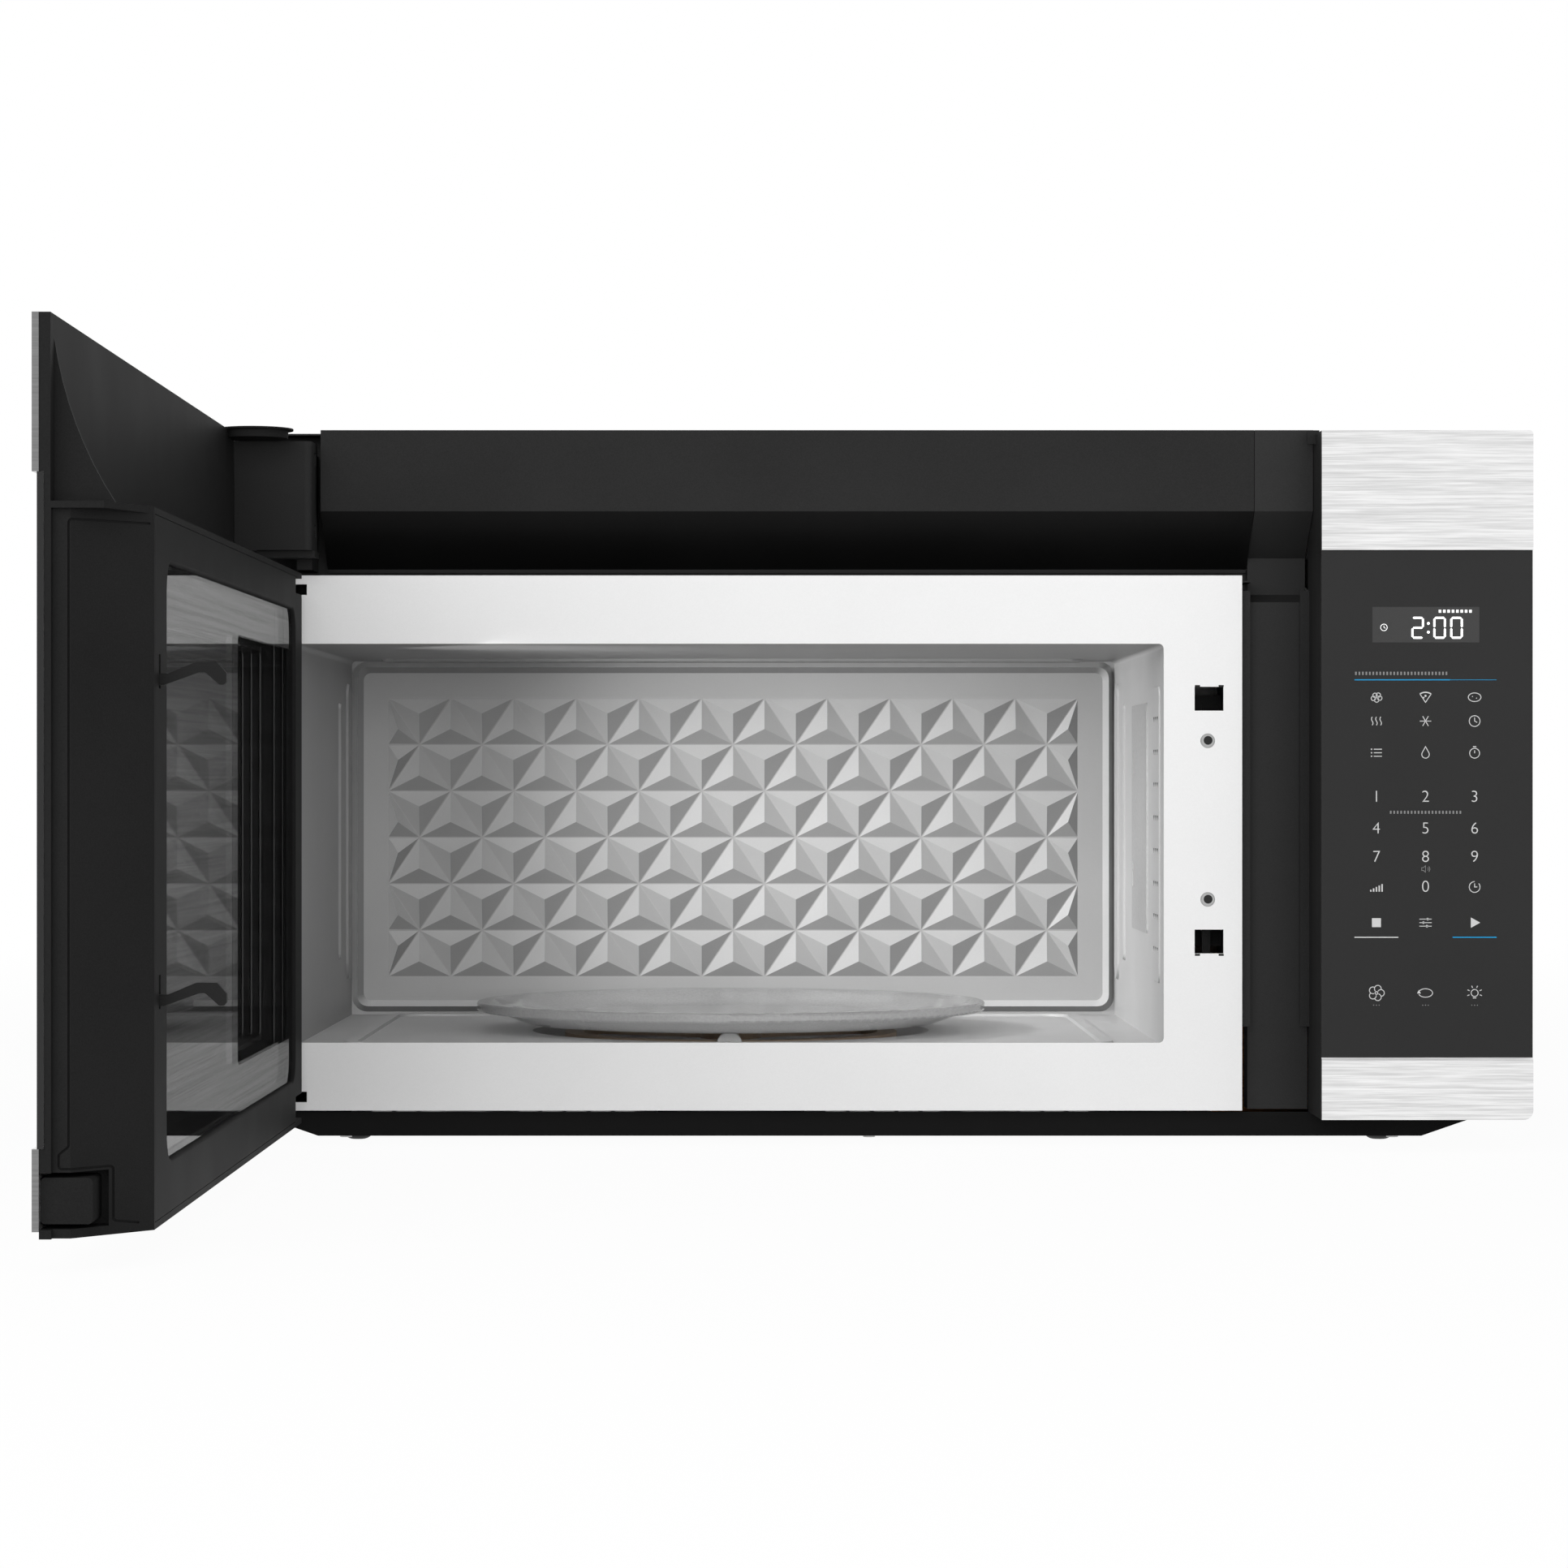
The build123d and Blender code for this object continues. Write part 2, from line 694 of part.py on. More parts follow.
def shrink(points, amount):
    """Corners moved towards their middle, leaving a narrow land between neighbours."""
    mx = sum(p[0] for p in points) / 3
    mz = sum(p[1] for p in points) / 3
    moved = []
    for x, z in points:
        reach = sqrt((x - mx) ** 2 + (z - mz) ** 2)
        moved.append((x + (mx - x) * amount * 2 / reach, z + (mz - z) * amount * 2 / reach))
    return moved, (mx, mz)


back_face_y = cavity_y1 - facet_depth
facets = []
for corners in facet_triangles():
    ring_points, middle = shrink(corners, facet_land)
    base = Polygon(*ring_points, align=None)
    plane = front_view(cavity_y1)
    base_face = (plane * base).faces()[0]
    tip = Vertex(middle[0], back_face_y, middle[1])
    facets.append(Solid.make_loft([base_face.outer_wire(), tip], True))

with BuildPart() as cavity_back_wall:
    with BuildSketch(front_view(cavity_y1 + sheet)):
        rect((cavity_x0 - sheet, cavity_x1 + sheet), (cavity_z0 - sheet, cavity_z1 + sheet))
    extrude(amount=sheet)
    with BuildSketch(front_view(cavity_y1)):
        rect((cavity_x0 + seat_gap, cavity_x1 - seat_gap),
             (cavity_z0 + bead_height + seat_gap, cavity_z1 - seat_gap), back_frame_corner)
        rect((cavity_x0 + back_frame_width, cavity_x1 - back_frame_width),
             (cavity_z0 + bead_height + back_frame_width, cavity_z1 - back_frame_width),
             back_frame_corner - back_frame_width + 3, mode=Mode.SUBTRACT)
    extrude(amount=back_frame_depth, taper=35)
    add(facets)
finish(cavity_back_wall, "cavity_back_wall")

# ================================================================ turntable
spindle = Axis((turntable_x, turntable_y, 0), (0, 0, 1))
turntable_section = Plane(origin=(turntable_x, turntable_y, 0), x_dir=(1, 0, 0), z_dir=(0, -1, 0))

with BuildPart() as glass_tray:
    with BuildSketch(turntable_section):
        with BuildLine():
            Polyline(
                (0, tray_underside),
                (tray_base_radius, tray_underside),
                (tray_radius - tray_lip - 4, tray_underside + tray_rise * 0.55),
                (tray_radius - tray_lip, tray_underside + tray_rise - tray_lip),
                (tray_radius, tray_underside + tray_rise - tray_lip),
                (tray_radius, tray_underside + tray_rise),
                (tray_radius - tray_lip - 3, tray_underside + tray_rise),
                (tray_radius - tray_lip - 8, tray_underside + tray_rise * 0.55 + tray_thickness),
                (tray_base_radius - 3, tray_underside + tray_thickness),
                (0, tray_underside + tray_thickness),
                close=True,
            )
        make_face()
    revolve(axis=spindle)
    rim_edges = glass_tray.edges().filter_by(GeomType.CIRCLE).group_by(SortBy.RADIUS)[-1]
    fillet(rim_edges, 1.8)
    # drive lugs that the coupler turns
    with BuildSketch(plan_view(tray_underside)):
        with Locations((turntable_x, turntable_y)):
            with PolarLocations(coupler_radius + 5, 3, start_angle=90):
                Rectangle(6, 5)
    extrude(amount=-3)
finish(glass_tray, "glass_tray")

lug_height = 3.6
with BuildPart() as turntable_coupler:
    with BuildSketch(plan_view(tray_underside - lug_height)):
        with Locations((turntable_x, turntable_y)):
            Circle(coupler_radius)
            with PolarLocations(coupler_radius, 3, start_angle=30):
                Rectangle(9, 6)
    extrude(amount=lug_height)
    with Locations((turntable_x, turntable_y, tray_underside - lug_height)):
        Cylinder(6.0, tray_underside - lug_height - well_floor - seat_gap,
                 align=(Align.CENTER, Align.CENTER, Align.MAX))
    with Locations((turntable_x, turntable_y, tray_underside - lug_height)):
        Cylinder(drive_shaft_radius, 22, align=(Align.CENTER, Align.CENTER, Align.MAX))
finish(turntable_coupler, "turntable_coupler")

ring_z = roller_z - ring_thickness / 2
with BuildPart() as roller_ring:
    with BuildSketch(plan_view(ring_z)):
        with Locations((turntable_x, turntable_y)):
            Circle(ring_radius)
            Circle(ring_radius - ring_width, mode=Mode.SUBTRACT)
            with PolarLocations(ring_radius / 2, 3, start_angle=-90):
                Rectangle(ring_radius - 6, spoke_width)
            Circle(hub_radius)
            Circle(coupler_radius * 0.5 + 1.0, mode=Mode.SUBTRACT)
            with PolarLocations(roller_orbit, 3, start_angle=-90):
                Rectangle(roller_width + 1.0, 2 * roller_radius + 2, mode=Mode.SUBTRACT)
    extrude(amount=ring_thickness)
    for turn in (-90, 30, 150):
        direction = Vector(cos(radians(turn)), sin(radians(turn)), 0)
        root = Vector(turntable_x, turntable_y, roller_z) + direction * (ring_radius - ring_width + 2)
        with BuildSketch(Plane(origin=root, z_dir=direction)):
            Circle(roller_pin_radius)
        extrude(amount=roller_orbit + roller_width / 2 + 2 - (ring_radius - ring_width + 2))
finish(roller_ring, "roller_ring")

for name, turn in (("roller_front", -90), ("roller_right", 30), ("roller_left", 150)):
    direction = Vector(cos(radians(turn)), sin(radians(turn)), 0)
    centre = Vector(turntable_x, turntable_y, roller_z) + direction * (roller_orbit - roller_width / 2)
    with BuildPart() as roller:
        with BuildSketch(Plane(origin=centre, z_dir=direction)):
            Circle(roller_radius)
            Circle(roller_pin_radius + run_gap, mode=Mode.SUBTRACT)
        extrude(amount=roller_width)
        fillet(roller.edges().filter_by(GeomType.CIRCLE).group_by(SortBy.RADIUS)[-1], 1.0)
    finish(roller, name)

with BuildPart() as turntable_motor:
    with Locations((turntable_x, turntable_y, well_floor - sheet)):
        Cylinder(motor_radius, motor_height, align=(Align.CENTER, Align.CENTER, Align.MAX))
    block((turntable_x - 33, turntable_x + 33), (turntable_y - 6, turntable_y + 6),
          (well_floor - sheet - 2, well_floor - sheet))
    with Locations((turntable_x, turntable_y, well_floor)):
        Cylinder(drive_shaft_radius + run_gap, 2 * motor_height, mode=Mode.SUBTRACT)
    block((turntable_x + motor_radius - 4, turntable_x + motor_radius + 9),
          (turntable_y - 9, turntable_y + 9),
          (well_floor - sheet - motor_height + 2, well_floor - sheet - 5))
finish(turntable_motor, "turntable_motor")

# ================================================================ vent cover, column, tower
with BuildPart() as vent_cover:
    face_y = front + vent_face_depth
    back_y = front + vent_slope_depth
    knee_z = top - vent_face_height
    foot_z = top - vent_slope_drop
    with BuildSketch(side_view(vent_x0)):
        with BuildLine():
            Polyline(
                (front + vent_top_depth, top),
                (face_y, top),
                (face_y, knee_z),
                (back_y, foot_z),
                (back_y, foot_z - vent_lip),
                (back_y + vent_wall, foot_z - vent_lip),
                (back_y + vent_wall, foot_z + vent_wall),
                (face_y + vent_wall, knee_z + vent_wall / 2),
                (face_y + vent_wall, top - vent_wall),
                (front + vent_top_depth, top - vent_wall),
                close=True,
            )
        make_face()
    extrude(amount=vent_x1 - vent_x0 - seat_gap)
    # end web at the tower side and hanging clips at the back
    block((vent_x0, vent_x0 + vent_wall), (face_y + vent_wall, front + vent_top_depth),
          (knee_z + 4, top - vent_wall))
finish(vent_cover, "vent_cover")

with BuildPart() as upper_front_panel:
    with BuildSketch(front_view(crossmember_y + sheet)):
        rect((left + sheet, column_x0), (plate_z1 - crossmember_flange, top - sheet))
        rect((cavity_xm - filter_pad_half + 8, cavity_xm + filter_pad_half - 8), (plate_z1 + 20, top - 12), 4,
             mode=Mode.SUBTRACT)
    extrude(amount=sheet)
    block((left + sheet, column_x0), (plate_back, crossmember_y),
          (plate_z1 - crossmember_flange, plate_z1 - crossmember_flange + sheet))
finish(upper_front_panel, "upper_front_panel")

with BuildPart() as column_trim:
    with BuildSketch(side_view(column_x0)):
        with BuildLine():
            Polyline(
                (front + vent_top_depth, top),
                (front + vent_face_depth, top),
                (front + vent_face_depth, top - vent_face_height),
                (front + column_slope_depth, top - column_slope_drop),
                (front + column_slope_depth, top - column_band_drop),
                (front + column_face_depth, top - column_band_drop - 4.8),
                (front + column_face_depth, plate_z0),
                (front + column_slope_depth + column_wall, plate_z0),
                (front + column_slope_depth + column_wall, top - column_slope_drop + column_wall),
                (front + vent_face_depth + 12, top - vent_face_height + column_wall),
                (front + vent_top_depth, top - vent_face_height + column_wall),
                close=True,
            )
        make_face()
    extrude(amount=column_width - seat_gap)
    block((column_x0 - 1.3, column_x0 + column_wall), (front + column_face_depth, crossmember_y),
          (plate_z0, top - column_band_drop - 6))
finish(column_trim, "column_trim")

tower_x0 = left + tower_inset_left
tower_x1 = tower_x0 + tower_width
tower_y0 = front + tower_front_depth
tower_y1 = tower_y0 + tower_depth
tower_z1 = top - tower_top_drop
tower_z0 = tower_z1 - tower_height
with BuildPart() as hinge_tower_cover:
    with BuildSketch(plan_view(tower_z0)):
        rect((tower_x0, tower_x1), (tower_y0, tower_y1))
    extrude(amount=tower_height)
    upright_edges = hinge_tower_cover.edges().filter_by(Axis.Z)
    front_right = upright_edges.sort_by(lambda e: e.center().X - e.center().Y)[-1]
    fillet(front_right, tower_radius)
    block((tower_x0 + 3, tower_x1 - 3), (tower_y1, crossmember_y), (tower_z0 + 4, tower_z1 - 4))
    # screw wells in the right-hand side
    with BuildSketch(side_view(tower_x1)):
        with Locations((tower_y1 - 11, tower_z1 - 9), (tower_y1 - 11, tower_z0 + 12)):
            Rectangle(9, 7)
    extrude(amount=-3, mode=Mode.SUBTRACT)
    # sill under the cover and the foot that stands on the front plate
    block((tower_x0 + 12, tower_x1 + 1), (tower_y0 + 6, tower_y1), (tower_z0 - tower_sill, tower_z0))
    block((tower_x1 - tower_foot_width - 1, tower_x1 - 3), (tower_y1, crossmember_y),
          (tower_z0 - tower_foot_drop, tower_z0 + 6))
finish(hinge_tower_cover, "hinge_tower_cover")


# ================================================================ control panel
def panel_outline(z0, z1):
    """The panel's width between two heights."""
    rect((panel_x0, right), (z0, z1))


glass_back_y = front + glass_recess + glass_thickness
board_z0 = band_bottom_z + board_margin
board_z1 = band_top_z - board_margin
post_radius = 3.5
with BuildPart() as control_panel_frame:
    skin_y = front + skin
    back_y = front + panel_depth
    with BuildSketch(front_view(back_y)):
        panel_outline(panel_z0, panel_z1)
    extrude(amount=back_y - skin_y)
    right_edges = control_panel_frame.edges().filter_by(Axis.Y).group_by(Axis.X)[-1].sort_by(Axis.Z)
    fillet(right_edges[0], panel_corner_bottom)
    fillet(right_edges[-1], panel_corner_top)
    wall_y = glass_back_y + panel_wall
    block((panel_x0 + panel_wall, right - panel_wall), (wall_y, back_y + 1),
          (panel_z0 + panel_wall, panel_z1 - panel_wall), mode=Mode.SUBTRACT)
    # seat of the glass and the window of the display
    block((panel_x0 - 1, right + 1), (skin_y - 1, glass_back_y),
          (band_bottom_z, band_top_z), mode=Mode.SUBTRACT)
    display_x0 = panel_x0 + display_inset_x
    display_z1 = panel_z1 - display_drop
    block((display_x0, display_x0 + display_width), (skin_y - 1, wall_y + 1),
          (display_z1 - display_height, display_z1), mode=Mode.SUBTRACT)
    # posts that carry the control board
    board_y = wall_y + board_stand_off
    with BuildSketch(front_view(board_y)):
        with Locations(((panel_x0 + right) / 2, (board_z0 + board_z1) / 2)):
            with GridLocations(panel_width - 2 * board_margin - 2 * post_radius,
                               board_z1 - board_z0 - 4 * post_radius, 2, 2):
                Circle(post_radius)
    extrude(amount=board_stand_off)
finish(control_panel_frame, "control_panel_frame")

with BuildPart() as control_panel_glass:
    with BuildSketch(front_view(glass_back_y)):
        panel_outline(band_bottom_z, band_top_z)
    extrude(amount=glass_thickness)
finish(control_panel_glass, "control_panel_glass")

with BuildPart() as control_top_trim:
    with BuildSketch(front_view(front + skin)):
        panel_outline(band_top_z, panel_z1)
    extrude(amount=skin)
    corner = control_top_trim.edges().filter_by(Axis.Y).sort_by(lambda e: e.center().X + e.center().Z)[-1]
    fillet(corner, panel_corner_top)
finish(control_top_trim, "control_top_trim")

with BuildPart() as control_bottom_trim:
    with BuildSketch(front_view(front + skin)):
        panel_outline(panel_z0, band_bottom_z)
    extrude(amount=skin)
    corner = control_bottom_trim.edges().filter_by(Axis.Y).sort_by(lambda e: e.center().X - e.center().Z)[-1]
    fillet(corner, panel_corner_bottom)
    brow = control_bottom_trim.edges().filter_by(Axis.X).sort_by(lambda e: e.center().Z - e.center().Y)[-1]
    chamfer(brow, 1.6)
finish(control_bottom_trim, "control_bottom_trim")

with BuildPart() as display_module:
    block((display_x0 + seat_gap, display_x0 + display_width - seat_gap), (glass_back_y, board_y),
          (display_z1 - display_height + seat_gap, display_z1 - seat_gap))
finish(display_module, "display_module")

# the board carries a small transformer, a relay, six capacitors and the processor
board_back = board_y + board_thickness
board_parts_low = board_z0 + 38.0
board_caps_rise = 115.0
board_parts_high = board_z0 + board_caps_rise
board_left_x = panel_x0 + 0.33 * panel_width
board_right_x = panel_x0 + 0.68 * panel_width
board_cap_height = 14.0
board_chip_height = 5.0
with BuildPart() as control_board:
    block((panel_x0 + board_margin, right - board_margin), (board_y, board_back), (board_z0, board_z1))
    for x, wide, high, deep in ((board_left_x, 38.0, 32.0, 24.0), (board_right_x, 20.0, 28.0, 16.0)):
        block((x - wide / 2, x + wide / 2), (board_back, board_back + deep),
              (board_parts_low - high / 2, board_parts_low + high / 2))
    with BuildSketch(front_view(board_back)):
        with Locations((board_left_x, board_parts_high)):
            with GridLocations(18, 20, 2, 3):
                Circle(6)
    extrude(amount=-board_cap_height)
    with BuildSketch(front_view(board_back)):
        with Locations((board_right_x, board_parts_high)):
            Rectangle(24, 40)
    extrude(amount=-board_chip_height)
finish(control_board, "control_board")

# ================================================================ hinge plates
with BuildPart() as hinge_brackets:
    for z, pin_up in ((hinge_upper_z, False), (hinge_lower_z, True)):
        low = z - hinge_plate_thickness / 2
        high = z + hinge_plate_thickness / 2
        with BuildSketch(plan_view(low)):
            with BuildLine():
                Polyline(
                    (pivot_x - hinge_plate_radius, pivot_y),
                    (pivot_x - hinge_plate_radius, plate_back + hinge_flange_depth),
                    (pivot_x + hinge_flange_reach, plate_back + hinge_flange_depth),
                    (pivot_x + hinge_flange_reach, plate_front - 1),
                    (pivot_x + hinge_plate_radius, pivot_y),
                    close=True,
                )
            make_face()
            with Locations((pivot_x, pivot_y)):
                Circle(hinge_plate_radius)
        extrude(amount=hinge_plate_thickness)
        # fixing flange behind the front plate
        block((pivot_x - hinge_plate_radius, pivot_x + hinge_flange_reach),
              (plate_back, plate_back + hinge_plate_thickness), (low - 8, high + 2))
        with Locations((pivot_x, pivot_y, high if pin_up else low)):
            Cylinder(hinge_pin_radius, hinge_pin_length,
                     align=(Align.CENTER, Align.CENTER, Align.MIN if pin_up else Align.MAX))
finish(hinge_brackets, "hinge_brackets")


# ================================================================ door
def door_outline(inset=0.0):
    """Plan of the door's thick part: skin side, lipped and slanted latch end, rounded hinge end."""
    r = door_end_radius - inset
    end = door_u1 - 0.5
    with BuildSketch(mode=Mode.PRIVATE) as outline:
        with BuildLine():
            Line((arc_u, door_v0 + inset), (end, door_v0 + inset))
            Line((end, door_v0 + inset), (end, door_v0 + 8.2))
            Line((end, door_v0 + 8.2), (end - end_lip, door_v0 + 8.2))
            Line((end - end_lip, door_v0 + 8.2), (end - end_lip, 1))
            Line((end - end_lip, 1), (end - end_lip - end_slope, door_v1))
            Line((end - end_lip - end_slope, door_v1), (-inner_edge, door_v1))
            Line((-inner_edge, door_v1), (arc_u - r, arc_v))
            ThreePointArc((arc_u - r, arc_v), (arc_u - r * sin(pi / 4), arc_v - r * cos(pi / 4)),
                          (arc_u, arc_v - r))
        make_face()
    return outline.sketch


def skin_band(outer, inner):
    """Plan of a layer of the door's front between two insets, wrapped round the hinge end."""
    r0 = door_end_radius - outer
    r1 = door_end_radius - inner
    with BuildSketch(mode=Mode.PRIVATE) as band:
        with BuildLine():
            Line((arc_u, arc_v - r0), (door_u1, arc_v - r0))
            Line((door_u1, arc_v - r0), (door_u1, arc_v - r1))
            Line((door_u1, arc_v - r1), (arc_u, arc_v - r1))
            ThreePointArc((arc_u, arc_v - r1), (arc_u - r1 * sin(pi / 4), arc_v - r1 * cos(pi / 4)),
                          (arc_u - r1, arc_v))
            Line((arc_u - r1, arc_v), (arc_u - r0, arc_v))
            ThreePointArc((arc_u - r0, arc_v), (arc_u - r0 * sin(pi / 4), arc_v - r0 * cos(pi / 4)),
                          (arc_u, arc_v - r0))
        make_face()
    return band.sketch


lower_notch_z0 = door_bottom + door_floor_wall
lower_notch_z1 = hinge_lower_z + hinge_plate_thickness / 2 + bush_flange + seat_gap
upper_notch_z1 = shelf_underside
upper_notch_z0 = hinge_upper_z - hinge_plate_thickness / 2 - bush_flange - seat_gap

# room round both hinge plates as the door swings, cut from every door piece it meets
with BuildPart() as hinge_room:
    for low, high in ((lower_notch_z0, lower_notch_z1), (upper_notch_z0, upper_notch_z1)):
        with BuildSketch(door_plan(low)):
            Circle(hinge_plate_radius + hinge_clearance)
            rect((-40, notch_width), (-hinge_plate_radius - hinge_clearance, door_v1 + 1))
        extrude(amount=high - low)

# parting line of the inner cover on the latch end, a narrow groove that jogs round the stop pad
pocket_z0 = door_bottom + pocket_rise
pocket_z1 = pocket_z0 + pocket_height
pad_z0 = (pocket_z0 + pocket_z1 - pad_height) / 2
pad_z1 = pad_z0 + pad_height
pad_face_u = door_u1 - 0.5 - end_lip
pocket_floor_u = pad_face_u - end_slope * 0.7
seam_jog_z = pocket_z1 + 1.5
seam_top_z = shelf_underside - seam_top_drop
with BuildPart() as end_seam:
    with BuildSketch(door_section(door_u1)):
        with BuildLine():
            FilletPolyline(
                (door_v1 - 5.7, pocket_z0),
                (pocket_side + 1.6, pocket_z0 + 2.1),
                (pocket_side + 1.6, seam_jog_z),
                (seam_side - 4.3, seam_jog_z),
                (seam_side - 4.3, seam_jog_z + 6.2),
                (seam_side, seam_jog_z + 9.7),
                (seam_side, seam_top_z),
                (door_v1 - 1.5, seam_top_z),
                radius=1.6,
            )
        trace(line_width=seam_width)
    extrude(amount=-(end_slope + end_lip + 2 * seam_depth))
    with BuildSketch(door_plan(door_bottom)):
        add(door_outline(skin).moved(Location((-seam_depth, 0, 0))))
    extrude(amount=shelf_top - door_bottom, mode=Mode.SUBTRACT)

cover_v0 = door_v1 - cover_thickness
channel_v0 = cover_v0 - latch_bar_width - 2 * latch_side_clearance
latch_bar_z0 = latch_lower_z - 12
latch_bar_z1 = latch_upper_z + 16
with BuildPart() as door_outer_frame:
    with BuildSketch(door_plan(door_bottom)):
        add(door_outline(skin))
    extrude(amount=shelf_top - door_bottom)
    # shelf that reaches out over the slanted latch end
    with BuildSketch(door_plan(shelf_underside)):
        with BuildLine():
            Polyline(
                (door_u1 - end_slope - 20, door_v0 + skin),
                (door_u1 - 0.5, door_v0 + skin),
                (door_u1 - 0.5, pocket_side + 1),
                (door_u1 - 0.5 - end_lip - end_slope, door_v1 - 1),
                (door_u1 - end_slope - 20, door_v1 - 1),
                close=True,
            )
        make_face()
    extrude(amount=shelf_wall)
    # thin upper flange behind the top trim
    with BuildSketch(door_plan(shelf_top)):
        r = door_end_radius - skin
        flange_v = door_v0 + skin + flange_wall
        flange_turn = acos((arc_v - flange_v) / r)
        flange_end = (arc_u - r * sin(flange_turn), flange_v)
        with BuildLine():
            Line((arc_u, arc_v - r), (door_u1 - 0.5, arc_v - r))
            Line((door_u1 - 0.5, arc_v - r), (door_u1 - 0.5, flange_v))
            Line((door_u1 - 0.5, flange_v), flange_end)
            ThreePointArc(flange_end,
                          (arc_u - r * sin(flange_turn / 2), arc_v - r * cos(flange_turn / 2)),
                          (arc_u, arc_v - r))
        make_face()
    extrude(amount=door_top - shelf_top)
    # round lobe that passes over the hinge tower
    with BuildSketch(door_plan(door_top - lobe_thickness)):
        with Locations((arc_u, arc_v)):
            Circle(door_end_radius - skin)
    extrude(amount=lobe_thickness)
    with BuildSketch(door_plan(door_top)):
        with Locations((arc_u, arc_v)):
            Circle(door_end_radius)
    extrude(amount=lobe_cap)
    # curved gusset between the shelf and the flange
    with BuildSketch(door_section(door_u1 - rib_inset)):
        with BuildLine():
            v = door_v0 + skin + flange_wall
            Line((v, shelf_top), (v + rib_width, shelf_top))
            ThreePointArc((v + rib_width, shelf_top), (v + rib_width * 0.36, shelf_top + rib_height * 0.47),
                          (v, shelf_top + rib_height))
            Line((v, shelf_top + rib_height), (v, shelf_top))
        make_face()
    extrude(amount=rib_thickness)
    # the well that holds the choke, right through to the outer glass
    with BuildSketch(door_view(door_v1 + 1)):
        rect((well_left, well_right), (well_bottom_z, well_top_z), 6)
    extrude(amount=door_thickness + 2, mode=Mode.SUBTRACT)
    # seat of the inner cover
    with BuildSketch(door_view(door_v1 + 1)):
        rect((-20, door_u1 - end_slope - 7), (door_bottom + cover_border, shelf_underside))
    extrude(amount=cover_thickness + 1, mode=Mode.SUBTRACT)
    # seat of the outer glass, and the stop pad in its pocket at the latch end
    with BuildSketch(door_plan(band_bottom_z)):
        add(skin_band(skin, glass_recess + glass_thickness))
    extrude(amount=band_top_z - band_bottom_z, mode=Mode.SUBTRACT)
    block((pivot_x + door_v0 + skin - 1, pivot_x + pocket_side),
          (pivot_y - door_u1 - 1, pivot_y - pocket_floor_u),
          (pocket_z0, pocket_z1), mode=Mode.SUBTRACT)
    with BuildSketch(door_section(pocket_floor_u - 1)):
        rect((door_v0 + skin, pad_side), (pad_z0, pad_z1), 2)
    extrude(amount=pad_face_u - pocket_floor_u + 1)
    add(end_seam.part, mode=Mode.SUBTRACT)
    # channel of the latch bar
    with BuildSketch(door_view(cover_v0 + 1)):
        rect((latch_u - latch_thickness / 2 - latch_side_clearance,
              latch_u + latch_thickness / 2 + latch_side_clearance),
             (latch_bar_z0 - seat_gap, latch_bar_z1 + latch_travel + 0.5))
    extrude(amount=cover_v0 + 1 - channel_v0, mode=Mode.SUBTRACT)
    add(hinge_room.part, mode=Mode.SUBTRACT)
    # bores of the hinge bushes
    for low, high in ((lower_notch_z1 - 1, lower_notch_z1 + hinge_pin_length + 2),
                      (upper_notch_z0 - hinge_pin_length - 2, upper_notch_z0 + 1)):
        with BuildSketch(door_plan(low)):
            Circle(bush_radius)
        extrude(amount=high - low, mode=Mode.SUBTRACT)
finish(door_outer_frame, "door_outer_frame")

with BuildPart() as door_hinge_bushes:
    for z, way in ((lower_notch_z1, 1), (upper_notch_z0, -1)):
        with BuildSketch(door_plan(z)):
            Circle(bush_radius)
            Circle(hinge_pin_radius + run_gap, mode=Mode.SUBTRACT)
        extrude(amount=way * (hinge_pin_length + 1))
        with BuildSketch(door_plan(z)):
            Circle(bush_flange_radius)
            Circle(hinge_pin_radius + run_gap, mode=Mode.SUBTRACT)
        extrude(amount=-way * bush_flange)
finish(door_hinge_bushes, "door_hinge_bushes")

skin_stop_v = tower_x0 - pivot_x - tower_gap
glass_inset = glass_recess + glass_thickness
for name, low, high, outer, inner in (("door_bottom_trim", panel_z0, band_bottom_z, 0, skin),
                                      ("door_glass", band_bottom_z, band_top_z, glass_recess, glass_inset),
                                      ("door_top_trim", band_top_z, door_top, 0, skin)):
    with BuildPart() as door_skin:
        with BuildSketch(door_plan(low)):
            add(skin_band(outer, inner))
        extrude(amount=high - low)
        add(hinge_room.part, mode=Mode.SUBTRACT)
        if name == "door_top_trim":
            # the wrap stops short of the hinge tower
            with BuildSketch(door_plan(low)):
                rect((-40, arc_u), (skin_stop_v, 60))
            extrude(amount=door_top - lobe_thickness - low, mode=Mode.SUBTRACT)
        if name == "door_glass":
            with BuildSketch(door_plan(shelf_top)):
                rect((-40, arc_u), (skin_stop_v, 60))
            extrude(amount=band_top_z - shelf_top, mode=Mode.SUBTRACT)
            # hollows behind the glass for the hinge bushes
            for low in (lower_notch_z1, upper_notch_z0 - hinge_pin_length - 3):
                with BuildSketch(door_plan(low)):
                    Circle(bush_flange_radius + seat_gap)
                extrude(amount=hinge_pin_length + 3, mode=Mode.SUBTRACT)
    finish(door_skin, name)

